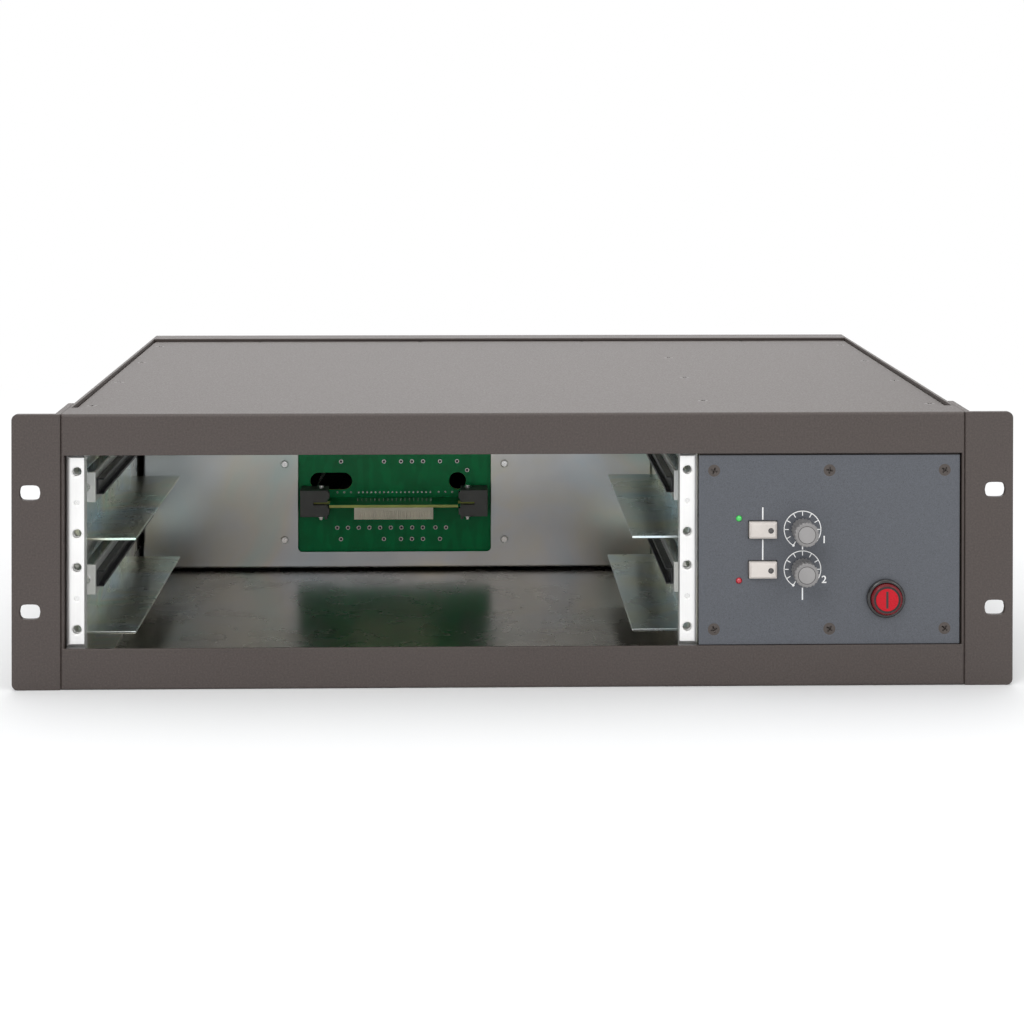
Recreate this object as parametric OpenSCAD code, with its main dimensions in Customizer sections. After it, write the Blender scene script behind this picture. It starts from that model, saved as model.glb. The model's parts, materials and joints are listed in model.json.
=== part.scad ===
// Rack card cage, three units high: two horizontal module bays on the left and a power section
// on the right, in a folded steel case with bolted rack ears.
// +X is to the right, +Y to the rear and +Z up. The origin is the centre of the rack slot pattern,
// in the plane of the front faces.

/* [Rack format] */
// Width over the rack ears
rack_w = 482.6; // [478:0.1:490]
// Height of the case and ears
unit_h = 132.5; // [131:0.5:140]
// Width of the case between the ears
body_w = 435.8; // [433:0.1:440]
// Depth of the case behind the front plane
body_d = 332; // [325:1:380]
// Distance between the rack slots, left to right
slot_span = 465.1; // [460:0.1:468]
// Distance between the rack slots, bottom to top
slot_rise = 57.15; // [50:0.05:76.2]
// Length of a rack slot
slot_l = 9.9; // [8:0.1:12]
// Height of a rack slot
slot_h = 7.2; // [6:0.1:7.5]

/* [Case] */
// Thickness of the painted steel
sheet = 1.5; // [1.2:0.1:2]
// Outside radius of the folds in the painted steel
fold_r = 1.5; // [1:0.1:2]
// Depth of the front frame's flanges
front_flange = 22; // [18:0.5:26]
// Depth of the rear panel's flanges
rear_flange = 19; // [15:0.5:24]
// Height of the window in the front frame
window_h = 92.8; // [92.4:0.1:96]
// Drop of the covers below the case edges
cover_recess = 1.7; // [1.6:0.1:2.4]
// Gap between a cover and the side panels
cover_gap = 0.8; // [0.3:0.1:1.5]
// Gap between a side panel and the flanges at its ends
panel_seam = 0.3; // [0.1:0.1:0.6]
// Length of an ear's flange along the case
ear_return = 41.7; // [36:0.1:50]
// Thickness of the rack ears
ear_t = 3; // [2:0.5:4]
// Corner radius of the rack ears
ear_corner = 3; // [1:0.5:5]

/* [Module bays] */
// Clear width between the side plate and the divider
bay_w = 303.2; // [303:0.1:306]
// Distance between the module fixing holes, left to right
hole_span = 294.2; // [292:0.1:295]
// Distance between a module's two fixing holes
hole_rise = 29.9; // [26:0.1:34]
// Height from one module bay to the next
module_pitch = 46.2; // [45.2:0.1:46.3]
// Diameter of a tapped module fixing hole
module_hole_d = 5; // [4:0.1:5.5]
// Setback of the module rails behind the front plane
rail_setback = 3; // [2.5:0.1:3]
// Width of a module rail
rail_w = 9; // [8.6:0.1:9.1]
// Thickness of a module rail
rail_t = 8; // [6:0.5:10]
// Thickness of the zinc-plated steel
plate_t = 1.2; // [0.8:0.1:1.4]
// Width of a module shelf
shelf_w = 29; // [20:0.5:34]
// Height of a module shelf's side leg
shelf_leg = 30; // [28.5:0.5:31]
// Depth of the shelves' front edges behind the front plane
shelf_front = 29; // [24:0.5:34]
// Length of a module shelf
shelf_l = 171; // [160:1:180]
// Distance of a shelf's surface below its module's centre line
shelf_drop = 22.25; // [21.5:0.05:22.5]
// Width between the faces that carry the guides
guide_span = 289.8; // [288:0.1:290.5]
// Height of a guide
guide_h = 8; // [6:0.5:10]
// Depth of a guide's groove with its floor
guide_depth = 3.8; // [3:0.1:5]
// Height of a guide bracket
bracket_h = 15; // [13:0.5:16]
// Depth of the guide brackets' front tabs behind the front plane
bracket_front = 44; // [40:0.5:48]
// Depth of the guide brackets' rear ends behind the front plane
bracket_rear = 228; // [215:1:229]

/* [Backplane] */
// Depth of the bay's rear plate behind the front plane
bay_depth = 241; // [236:1:260]
// Width of the opening for the backplane board
board_window_w = 114.2; // [112:0.2:125]
// Height of the opening for the backplane board
board_window_h = 104.2; // [104:0.2:112]
// Gap between the rear plate and the backplane board
board_gap = 2; // [1:0.5:4]
// Thickness of the circuit boards
pcb_t = 1.6; // [1.2:0.2:2.4]
// Width of a plug-in connector board
connector_board_w = 75; // [70:0.5:77]
// Reach of a connector board in front of the backplane board
connector_reach = 24; // [20:0.5:30]
// Width of a module socket
socket_w = 46; // [30:0.5:60]
// Height of a module socket
socket_h = 7; // [5:0.5:9]

/* [Power section] */
// Height of the control panel
panel_h = 91.6; // [88:0.1:92]
// Thickness of the control panel
panel_t = 2; // [1.5:0.1:2]
// Gap between the control panel and the front frame
panel_gap = 0.9; // [0.5:0.1:1.5]
// Distance between the control panel's screws, left to right
panel_screw_span = 112; // [100:0.5:114]
// Distance between the control panel's screws, bottom to top
panel_screw_rise = 76.8; // [70:0.1:80]
// Distance from one row of controls to the next
control_pitch = 19.3; // [16:0.1:24]
// Width of a push button
button_w = 13.4; // [10:0.1:15]
// Height of a push button
button_h = 8; // [6:0.1:10]
// Travel of a push button
button_travel = 2.5; // [1:0.1:3]
// Diameter of a level knob
knob_d = 12; // [10:0.1:14]
// Length of a level knob
knob_l = 13; // [10:0.1:16]
// Diameter of a level control's shaft
shaft_d = 6; // [4:0.1:6.4]
// Diameter of the mains switch's collar
mains_collar_d = 18.6; // [17.8:0.1:22]
// Diameter of the mains switch's button
mains_button_d = 15.2; // [12:0.1:15.4]
// Travel of the mains switch
mains_travel = 3; // [1:0.1:3.5]
// Outside diameter of the mains transformer
transformer_d = 92; // [70:1:100]
// Height of the mains transformer
transformer_h = 36; // [25:1:45]

/* [Hidden] */
$fn = 48;
cut = 1; // how far a cutting tool runs past the face it opens

// The two limits that lie half a size either side of a centre
function about(centre, half) = [centre - half, centre + half];

left = -1;
right = 1;
upper = 1;
lower = -1;

// Case
case_x = body_w / 2;
inner_x = case_x - sheet;
case_z = unit_h / 2;
cover_t = sheet;
seat_z = case_z - cover_recess - cover_t;
cover_tuck = 8;
side_panel_y = [front_flange + panel_seam, body_d - rear_flange - panel_seam];
window_z = window_h / 2;

// Angles under the covers, and the screws into them
angle_w = 14;
angle_y = [front_flange - cover_tuck, body_d - rear_flange + cover_tuck];
cross_angle_y = body_d - rear_flange - angle_w + 2;
fit_gap = 0.3;
screw_r = 1.5;
screw_head_r = 2.75;
screw_head_h = 1.3;
screw_l = 6;
screw_slack = 0.05;
edge_screw_x = inner_x - angle_w / 2;
edge_screw_y = [40, 126, 210, body_d - 44];
rear_screw_x = [-150.5, -50.5, 50.5, 150.5];
rear_screw_y = cross_angle_y + angle_w / 2 + 1;
divider_flange = 15;
divider_screw_y = [52, 140, 227];

// Rack ears
ear_bend_r = 0.8;
ear_tip_r = 5;
ear_screw_r = 2.5;
ear_head_r = 4.4;
ear_head_h = 2.2;
ear_screw_y = front_flange + 10;
ear_screw_z = [-45, 0, 45];
slot_corner_r = 2.3;
slot_relief = 0.4;

// Module bays, measured outward from the bay's centre line
bay_half = bay_w / 2;
bay_cx = -inner_x + plate_t + bay_half;
divider_x = bay_cx + bay_half + plate_t;
module_z = module_pitch / 2;
rail_hole_in = 3.7;
rail_inner = hole_span / 2 - rail_hole_in;
rail_outer = rail_inner + rail_w;
rail_h = 2 * (case_z - sheet - 2.75);
rail_end_step = 2;
rail_edge_r = 2.6;
rail_back = rail_setback + rail_t;
small_hole_r = 1.25;
small_screw_tip = 0.8;
pan_head_r = 2;
pan_head_h = 1.6;
flange_in = 0.6;
rail_screw_z = [-56, -module_z, module_z, 56];
side_plate_rear = 230;
side_plate_z = seat_z - angle_w - 0.5;
divider_rear = cross_angle_y - fit_gap;
guide_face = guide_span / 2;
lug_slit = 6;
tab_clear = 0.2;
tab_screw_x = guide_face + 4.3;
foot_l = 10;
guide_lip = 1.3;
guide_floor = 1.2;
guide_front = bracket_front + 2.4;
guide_rear = bracket_rear - 3;
peg_r = 1.4;
peg_y = [guide_front + 12, (guide_front + guide_rear) / 2, guide_rear - 12];
peg_head_r = 2;
peg_head_h = 0.8;

// Backplane
board_cx = bay_cx - 1;
rear_plate_x0 = bay_cx - bay_half + 1.8;
rear_plate_flange = 12;
rear_plate_r = 1.6;
window_corner_r = 2.4;
board_y = bay_depth + plate_t + board_gap;
board_w = board_window_w + 26;
board_edge_gap = 2.75; // from the board's edges to the rear plate's flanges
board_h = 2 * (seat_z - plate_t - board_edge_gap);
stud_inset = 5;
stud_x = about(board_cx, board_w / 2 - stud_inset);
stud_z = [-45, 0, 45];
stud_r = 1.7;
stud_head_h = 0.4;
stud_ring_r = 2.2;
socket_line = 2; // height of a connector board above its module's centre line
holder_x = 39;
holder_w = 16;
holder_h = 15.6;
holder_l = 16;
holder_slot_x = 47.3;
holder_screw_x = 43.3;
holder_screw_r = 1.25;
holder_nut_r = 2.2;
ear_depth = 12;
hole_line = 10.5; // height of the board's cable holes above a connector board
oval_x = -37.7;
oval_l = 24.8;
oval_h = 10;
round_x = 37.3;
round_d = 10.1;
socket_depth = 13;
socket_setback = 0.6;
socket_ribs = 36;
socket_rib_d = 0.35;
pin_count = 18;
pin_pitch = 2.54;
pin_r = 0.4;
pin_slack = 0.1;
pin_back = 14;

// Place of a socket's pin across the connector board
function pin_x(i) = (i - (pin_count - 1) / 2) * pin_pitch;

// Power section
psu_x0 = bay_cx + rail_outer + 0.1;
psu_x1 = inner_x - panel_gap;
psu_cx = (psu_x0 + psu_x1) / 2;
panel_y = rail_setback - panel_t;
panel_z = -0.4;
frame_depth = angle_y[0] - rail_setback;
frame_window_x = [psu_x0 + 14, psu_x1 - 14];
frame_window_z = 35;
panel_screw_x = [
    psu_cx - panel_screw_span / 2, psu_cx, psu_cx + panel_screw_span / 2
];
panel_screw_z = about(panel_z, panel_screw_rise / 2);
panel_screw_head_r = 2.9;
led_x = psu_x0 + 19.4;
led_r = 1.5;
led_rim_r = 1.8;
led_stand = 0.9;
led_back = 6;
led_rise = 15.05;
led_lead_r = 0.3;
led_lead_x = [-1.27, 1.27];
control_z = -0.25;
button_x = psu_x0 + 30.9;
button_stand = 3;
button_chamfer = 1;
button_clear = 0.35;
button_skirt = 4;
stem_w = 4;
stem_clear = 0.5;
board_front = rail_setback + 17;
switch_w = 11;
switch_h = 7.5;
switch_front = rail_setback + button_skirt + button_travel + 0.7;
dial_x = psu_x0 + 50.2;
shaft_r = shaft_d / 2;
shaft_slack = 0.05;
bushing_r = shaft_r + 0.6;
control_r = 8;
control_front = rail_setback + 6;
knob_gap = 0.3;
knob_back = panel_y - knob_gap;
knob_flutes = 20;
flute_r = 0.55;
knob_cap_r = knob_d / 2 - 1.9;
knob_cap_h = 0.4;
shaft_in_knob = knob_l - 4;
mains_inset = 36;
mains_x = psu_x1 - mains_inset;
mains_z = -24;
mains_clear = 0.15;
mains_stand = 2.4;
mains_proud = 2;
mains_barrel_r = mains_collar_d / 2 - 0.8;
mains_nut_r = mains_barrel_r + 1.5;
mains_barrel_l = 22;
mains_core_l = 10.5;
mains_bottom_gap = 1.5;
mains_bore_l = mains_core_l + mains_travel + mains_bottom_gap;
board_x = [psu_x0 + 13.2, psu_x0 + 62];
board_z = 24;

// Inside the power section
floor_z = -seat_z;
transformer_x = (divider_x + inner_x) / 2;
transformer_y = 245;
transformer_bore_r = 13;
winding_r = 7;
bolt_r = 3;
washer_r = 34;
washer_t = 2;
psu_board_x = [divider_x + 17, inner_x - 17];
psu_board_y = [60, 180];
pillar_h = 10;
pillar_r = 3;
pillar_inset = 5;
capacitor_r = 12.5;
capacitor_h = 40;
capacitor_x = [transformer_x - 20, transformer_x + 20];
capacitor_y = [90, 125];

// Rear connectors
inlet_x = transformer_x;
inlet_z = 12;
inlet_flange = [50, 24];
inlet_body = [28, 21];
inlet_cavity = [24, 16.5];
inlet_flange_t = 3;
inlet_l = 26;
inlet_cavity_l = 18;
inlet_pin = [4, 2];
inlet_pin_l = 12.5;
audio_pitch = 45;
audio_x = [board_cx - audio_pitch, board_cx, board_cx + audio_pitch];
audio_z = [-19, 19];
audio_flange = [26, 31];
audio_flange_t = 2.5;
audio_r = 11.8;
audio_hole_r = 12;
audio_l = 20;
audio_ring_r = [8.2, 9.2];
audio_cavity_r = 8.4;
audio_cavity_l = 15;
audio_pin_r = 1.2;
audio_pin_l = 9.5;
audio_pin_ring = 3.9;

paint = [0.36, 0.33, 0.32];
zinc = [0.72, 0.74, 0.72];
aluminium = [0.93, 0.92, 0.91];
blue_grey = [0.36, 0.40, 0.45];
pcb_green = [0.02, 0.36, 0.19];
black = [0.08, 0.08, 0.08];
steel = [0.75, 0.76, 0.78];
grey = [0.60, 0.60, 0.61];
beige = [0.80, 0.76, 0.70];

// A block between two limits on each axis
module block(x, y, z) {
    translate([x[0], y[0], z[0]])
        cube([x[1] - x[0], y[1] - y[0], z[1] - z[0]]);
}

// A cylinder along Y, from one depth to another
module rod_y(r, y) {
    translate([0, y[0], 0])
        rotate([-90, 0, 0])
            cylinder(h = y[1] - y[0], r = r);
}

// A cone along Y, r[0] at the first depth and r[1] at the second
module cone_y(r, y) {
    translate([0, y[0], 0])
        rotate([-90, 0, 0])
            cylinder(h = y[1] - y[0], r1 = r[0], r2 = r[1]);
}

// Carries a drawing in Y and Z along X
module along_x(x) {
    translate([x[0], 0, 0])
        rotate([90, 0, 90])
            linear_extrude(x[1] - x[0])
                children();
}

// Carries a drawing in X and Z along Y
module along_y(y) {
    translate([0, y[1], 0])
        rotate([90, 0, 0])
            linear_extrude(y[1] - y[0])
                children();
}

// Carries a drawing in X and Y along Z
module along_z(z) {
    translate([0, 0, z[0]])
        linear_extrude(z[1] - z[0])
            children();
}

// A centred rectangle with round corners
module round_rect(w, h, r) {
    square([w - 2 * r, h], center = true);
    square([w, h - 2 * r], center = true);
    for (x = [-1, 1], y = [-1, 1])
        translate([x * (w / 2 - r), y * (h / 2 - r)])
            circle(r);
}

// A centred slot with round ends
module obround(l, h) {
    square([l - h, h], center = true);
    for (x = [-1, 1])
        translate([x * (l - h) / 2, 0])
            circle(h / 2);
}

// A strip from 0 to depth along x and across span along y, with the two corners at 0 rounded
module round_front(depth, span, r) {
    translate([r, span[0]])
        square([depth - r, span[1] - span[0]]);
    translate([0, span[0] + r])
        square([2 * r, span[1] - span[0] - 2 * r]);
    for (y = [span[0] + r, span[1] - r])
        translate([r, y])
            circle(r);
}

// A folded tray with its face at y = 0 and its four flanges running back from it
module folded_tray(x, z, depth, t, r) {
    difference() {
        intersection() {
            along_x(x)
                round_front(depth, z, r);
            along_z(z)
                mirror([1, -1, 0])
                    round_front(depth, x, r);
        }
        block([x[0] + t, x[1] - t], [t, depth + cut], [z[0] + t, z[1] - t]);
    }
}

// Places the parts of one side of the bay: local x runs outward from its centre line
module bay_side(side) {
    translate([bay_cx, 0, 0])
        mirror([side < 0 ? 1 : 0, 0, 0])
            children();
}

// Places the parts of one module
module bay_level(level) {
    translate([0, 0, level * module_z])
        children();
}

module front_bezel() {
    color(paint)
        difference() {
            folded_tray([-case_x, case_x], [-case_z, case_z], front_flange, sheet, fold_r);
            block([-inner_x, inner_x], [-cut, sheet + cut], [-window_z, window_z]);
        }
}

module side_panel(side) {
    color(paint)
        mirror([side < 0 ? 1 : 0, 0, 0])
            difference() {
                block([inner_x, case_x], side_panel_y, [-case_z, case_z]);
                for (z = ear_screw_z)
                    translate([inner_x - cut, ear_screw_y, z])
                        rotate([0, 90, 0])
                            cylinder(h = sheet + 2 * cut, r = ear_screw_r);
            }
}

// Countersunk cover screw, head up, with its top at z = 0
module cover_screw(slack) {
    translate([0, 0, -screw_head_h])
        cylinder(h = screw_head_h, r1 = screw_r + slack, r2 = screw_head_r + slack);
    translate([0, 0, -screw_l])
        cylinder(h = screw_l - screw_head_h / 2, r = screw_r + slack);
}

// Places what follows at every cover screw, on the cover's outer face
module at_cover_screws() {
    for (x = [-edge_screw_x, edge_screw_x], y = edge_screw_y)
        translate([x, y, seat_z + cover_t])
            children();
    for (x = rear_screw_x)
        translate([x, rear_screw_y, seat_z + cover_t])
            children();
    for (y = divider_screw_y)
        translate([divider_x + divider_flange / 2, y, seat_z + cover_t])
            children();
}

module cover() {
    difference() {
        block([-inner_x + cover_gap, inner_x - cover_gap],
            [front_flange - cover_tuck, body_d - rear_flange + cover_tuck],
            [seat_z, seat_z + cover_t]);
        at_cover_screws() {
            cover_screw(screw_slack);
            cylinder(h = cut, r = screw_head_r + screw_slack);
        }
    }
}

module top_cover() {
    color(paint)
        cover();
}

module bottom_cover() {
    color(paint)
        difference() {
            mirror([0, 0, 1])
                cover();
            translate([transformer_x, transformer_y, -seat_z - cover_t - cut])
                cylinder(h = cover_t + 2 * cut, r = bolt_r);
        }
}

module cover_screws() {
    color(black)
        for (flip = [0, 1])
            mirror([0, 0, flip])
                at_cover_screws()
                    cover_screw(0);
}

// Steel angles under both covers: one along each side panel and one across the rear
module cover_angles() {
    color(zinc)
        for (flip = [0, 1])
            mirror([0, 0, flip])
                difference() {
                    union() {
                        for (side = [0, 1])
                            mirror([side, 0, 0])
                                along_y(angle_y)
                                    polygon([
                                        [inner_x, seat_z],
                                        [inner_x - angle_w, seat_z],
                                        [inner_x - angle_w, seat_z - plate_t],
                                        [inner_x - plate_t, seat_z - plate_t],
                                        [inner_x - plate_t, seat_z - angle_w],
                                        [inner_x, seat_z - angle_w]
                                    ]);
                        along_x([-inner_x + angle_w + fit_gap, inner_x - angle_w - fit_gap])
                            polygon([
                                [cross_angle_y, seat_z],
                                [cross_angle_y, seat_z - angle_w],
                                [cross_angle_y + plate_t, seat_z - angle_w],
                                [cross_angle_y + plate_t, seat_z - plate_t],
                                [cross_angle_y + angle_w, seat_z - plate_t],
                                [cross_angle_y + angle_w, seat_z]
                            ]);
                    }
                    at_cover_screws()
                        cover_screw(0);
                }
}

module rear_panel() {
    color(paint)
        difference() {
            translate([0, body_d, 0])
                mirror([0, 1, 0])
                    folded_tray([-case_x, case_x], [-case_z, case_z], rear_flange, sheet, fold_r);
            block(about(inlet_x, inlet_body[0] / 2), [body_d - sheet - cut, body_d + cut],
                about(inlet_z, inlet_body[1] / 2));
            for (x = audio_x, z = audio_z)
                translate([x, 0, z])
                    rod_y(audio_hole_r, [body_d - sheet - cut, body_d + cut]);
        }
}

// Rack slot: round ends, relieved towards square corners
module rack_slot() {
    obround(slot_l, slot_h);
    round_rect(slot_l - slot_relief, slot_h - slot_relief / 2, slot_corner_r);
}

// Rack ear for the right-hand side
module rack_ear() {
    difference() {
        union() {
            along_y([0, ear_t])
                difference() {
                    translate([(rack_w / 2 + case_x) / 2, 0])
                        round_rect(rack_w / 2 - case_x, unit_h, ear_corner);
                    for (z = [-1, 1])
                        translate([slot_span / 2, z * slot_rise / 2])
                            rack_slot();
                }
            along_x([case_x, case_x + ear_t])
                mirror([1, 0, 0])
                    translate([-ear_return, 0])
                        round_front(ear_return, [-case_z, case_z], ear_tip_r);
        }
        // The fold's round outer edge, beside the case
        along_z([-case_z - cut, case_z + cut])
            difference() {
                translate([case_x - cut, -cut])
                    square(ear_bend_r + cut);
                translate([case_x + ear_bend_r, ear_bend_r])
                    circle(ear_bend_r);
            }
        for (z = ear_screw_z)
            translate([case_x - cut, ear_screw_y, z])
                rotate([0, 90, 0])
                    cylinder(h = ear_t + 2 * cut, r = ear_screw_r);
    }
}

// Pan-head screws that hold the ears, tapped flush into the side panels
module ear_screws() {
    color(black)
        for (side = [0, 1], z = ear_screw_z)
            mirror([side, 0, 0])
                translate([case_x + ear_t, ear_screw_y, z])
                    rotate([0, 90, 0]) {
                        cylinder(h = ear_head_h, r1 = ear_head_r, r2 = ear_head_r - 1.2);
                        translate([0, 0, -ear_t - sheet])
                            cylinder(h = ear_t + sheet, r = ear_screw_r);
                    }
}

// The flange that a rail is screwed to, with clearance for the module screws
module rail_flange() {
    difference() {
        block([rail_inner + flange_in, bay_half + plate_t], [rail_back, rail_back + plate_t],
            [-rail_h / 2, rail_h / 2]);
        for (level = [lower, upper], z = [-1, 1])
            bay_level(level)
                translate([hole_span / 2, 0, z * hole_rise / 2])
                    rod_y(module_hole_d / 2 + fit_gap, [rail_back - cut, rail_back + 2 * cut]);
        for (z = rail_screw_z)
            translate([hole_span / 2, 0, z])
                rod_y(small_hole_r, [rail_back - cut, rail_back + 2 * cut]);
    }
}

module bay_side_plate() {
    color(zinc)
        bay_side(left) {
            block([bay_half, bay_half + plate_t], [rail_back, side_plate_rear],
                [-side_plate_z, side_plate_z]);
            rail_flange();
        }
}

module bay_divider() {
    color(zinc)
        bay_side(right)
            difference() {
                union() {
                    block([bay_half, bay_half + plate_t], [rail_back, divider_rear],
                        [-seat_z, seat_z]);
                    for (flip = [0, 1])
                        mirror([0, 0, flip])
                            block([bay_half, bay_half + plate_t + divider_flange],
                                [front_flange, divider_rear], [seat_z - plate_t, seat_z]);
                    rail_flange();
                }
                for (flip = [0, 1])
                    mirror([0, 0, flip])
                        translate([-bay_cx, 0, 0])
                            at_cover_screws()
                                cover_screw(0);
            }
}

// Aluminium module rail: round outer edge, tapped holes, and ends stepped back behind the frame
module module_rail() {
    difference() {
        along_z([-rail_h / 2, rail_h / 2])
            union() {
                translate([rail_inner, rail_setback])
                    square([rail_w - rail_edge_r, rail_t]);
                translate([rail_inner, rail_setback + rail_edge_r])
                    square([rail_w, rail_t - rail_edge_r]);
                translate([rail_outer - rail_edge_r, rail_setback + rail_edge_r])
                    circle(rail_edge_r);
            }
        for (flip = [0, 1])
            mirror([0, 0, flip])
                along_x([rail_inner - cut, rail_outer + cut])
                    polygon([
                        [rail_setback - cut, window_z - rail_end_step + cut / 2],
                        [rail_setback, window_z - rail_end_step + cut / 2],
                        [rail_setback + rail_end_step, window_z + cut / 2],
                        [rail_setback + rail_end_step, case_z],
                        [rail_setback - cut, case_z]
                    ]);
        for (level = [lower, upper], z = [-1, 1])
            bay_level(level)
                translate([hole_span / 2, 0, z * hole_rise / 2])
                    rod_y(module_hole_d / 2, [rail_setback - cut, rail_back + cut]);
        for (z = rail_screw_z)
            translate([hole_span / 2, 0, z])
                rod_y(small_hole_r, [rail_setback - cut, rail_back + cut]);
    }
}

// Pan-head screw along Y: the head sits in front of y = 0 and the shank runs back from it
module pan_screw(l) {
    rod_y(small_hole_r, [0, l]);
    cone_y([pan_head_r - 0.4, pan_head_r], [-pan_head_h, -pan_head_h / 2]);
    rod_y(pan_head_r, [-pan_head_h / 2, 0]);
}

// Screws that hold the rails from behind and the guide brackets from the front
module bay_screws() {
    color(steel)
        for (side = [left, right])
            bay_side(side) {
                for (z = rail_screw_z)
                    translate([hole_span / 2, rail_back + plate_t, z])
                        mirror([0, 1, 0])
                            pan_screw(rail_t + plate_t - small_screw_tip);
                for (level = [lower, upper])
                    bay_level(level)
                        translate([tab_screw_x, bracket_front, 0])
                            pan_screw(2 * plate_t + 1);
            }
}

// Shelf under a module: a folded angle with a lug lanced out of its side leg
module module_shelf() {
    shelf_z = -shelf_drop;
    lug_y = bracket_front + plate_t;
    lug_z = [-bracket_h / 2, bracket_h / 2];
    color(zinc)
        difference() {
            union() {
                along_y([shelf_front, shelf_front + shelf_l])
                    polygon([
                        [bay_half, shelf_z - plate_t],
                        [bay_half, shelf_z + shelf_leg],
                        [bay_half - plate_t, shelf_z + shelf_leg],
                        [bay_half - plate_t, shelf_z],
                        [bay_half - shelf_w, shelf_z],
                        [bay_half - shelf_w, shelf_z - plate_t]
                    ]);
                block([guide_face + plate_t + tab_clear, bay_half],
                    [lug_y, lug_y + plate_t], lug_z);
            }
            block([bay_half - 2 * plate_t, bay_half + cut], [lug_y - lug_slit, lug_y],
                lug_z + [-tab_clear, tab_clear]);
            translate([tab_screw_x, 0, 0])
                rod_y(small_hole_r, [lug_y - cut, lug_y + plate_t + cut]);
        }
}

// Bracket that carries a guide: front tab, long leg, and a rear foot against the side
module guide_bracket() {
    leg_z = [-bracket_h / 2, bracket_h / 2];
    color(zinc)
        difference() {
            union() {
                block([guide_face, bay_half - tab_clear],
                    [bracket_front, bracket_front + plate_t], leg_z);
                block([guide_face, guide_face + plate_t], [bracket_front, bracket_rear], leg_z);
                block([guide_face, bay_half], [bracket_rear - plate_t, bracket_rear], leg_z);
                block([bay_half - plate_t, bay_half], [bracket_rear - foot_l, bracket_rear],
                    leg_z);
            }
            translate([tab_screw_x, 0, 0])
                rod_y(small_hole_r, [bracket_front - cut, bracket_front + plate_t + cut]);
            for (y = peg_y)
                translate([guide_face - cut, y, 0])
                    rotate([0, 90, 0])
                        cylinder(h = plate_t + 2 * cut, r = peg_r);
        }
}

// Moulded guide: a grooved channel with flared mouth, held by pegs through its bracket
module module_guide() {
    color(black) {
        difference() {
            block([guide_face - guide_depth, guide_face], [guide_front, guide_rear],
                [-guide_h / 2, guide_h / 2]);
            block([guide_face - guide_depth - cut, guide_face - guide_floor],
                [guide_front - cut, guide_rear + cut],
                [guide_lip - guide_h / 2, guide_h / 2 - guide_lip]);
            along_x([guide_face - guide_depth - cut, guide_face - guide_floor])
                polygon([
                    [guide_front - cut, guide_h / 2 - guide_lip / 3],
                    [guide_front + 5, guide_h / 2 - guide_lip],
                    [guide_front + 5, guide_lip - guide_h / 2],
                    [guide_front - cut, guide_lip / 3 - guide_h / 2]
                ]);
        }
        for (y = peg_y)
            translate([guide_face, y, 0])
                rotate([0, 90, 0]) {
                    cylinder(h = plate_t, r = peg_r);
                    translate([0, 0, plate_t])
                        cylinder(h = peg_head_h, r1 = peg_head_r, r2 = peg_r);
                }
    }
}

// Rear plate of the bays: a folded tray with an opening in front of the backplane board
module bay_rear_plate() {
    color(zinc)
        translate([0, bay_depth, 0])
            difference() {
                folded_tray([rear_plate_x0, divider_x - plate_t],
                    about(0, seat_z - plate_t), rear_plate_flange, plate_t, rear_plate_r);
                along_y([-cut, plate_t + cut])
                    translate([board_cx, 0])
                        round_rect(board_window_w, board_window_h, window_corner_r);
                for (x = stud_x, z = stud_z)
                    translate([x, 0, z]) {
                        rod_y(stud_r, [-cut, plate_t + cut]);
                        rod_y(stud_ring_r, [-cut, stud_head_h]);
                    }
            }
}

module backplane_board() {
    color(pcb_green)
        difference() {
            block(about(board_cx, board_w / 2), [board_y, board_y + pcb_t],
                about(0, board_h / 2));
            for (level = [lower, upper])
                bay_level(level)
                    translate([board_cx, 0, socket_line + hole_line]) {
                        translate([oval_x, 0, 0])
                            along_y([board_y - cut, board_y + pcb_t + cut])
                                obround(oval_l, oval_h);
                        translate([round_x, 0, 0])
                            rod_y(round_d / 2, [board_y - cut, board_y + pcb_t + cut]);
                    }
            for (x = stud_x, z = stud_z)
                translate([x, 0, z])
                    rod_y(stud_r, [board_y - cut, board_y + pcb_t + cut]);
        }
}

// Clinched studs with spacers and nuts that carry the backplane board
module backplane_studs() {
    color(steel)
        for (x = stud_x, z = stud_z)
            translate([x, 0, z]) {
                rod_y(stud_r, [bay_depth, board_y + pcb_t + 4]);
                rod_y(stud_r + 1.2, [bay_depth + plate_t, board_y]);
                translate([0, board_y + pcb_t, 0])
                    rotate([-90, 0, 0])
                        cylinder(h = 2.2, r = 3.2, $fn = 6);
            }
}

// Board that stands out from the backplane: its ears sit in the holders' slots
module connector_board(level) {
    front = board_y - connector_reach;
    color(pcb_green)
        bay_level(level)
            translate([board_cx, 0, socket_line])
                difference() {
                    union() {
                        block([-connector_board_w / 2, connector_board_w / 2],
                            [front, board_y], [-pcb_t / 2, pcb_t / 2]);
                        block([-holder_slot_x, holder_slot_x], [board_y - ear_depth, board_y],
                            [-pcb_t / 2, pcb_t / 2]);
                    }
                    for (x = [-holder_screw_x, holder_screw_x])
                        translate([x, board_y - ear_depth / 2, -cut])
                            cylinder(h = 2 * cut, r = holder_screw_r);
                    for (i = [0:pin_count - 1])
                        translate([pin_x(i), front + socket_setback + pin_back, -cut])
                            cylinder(h = 2 * cut, r = pin_r + pin_slack);
                }
}

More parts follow.
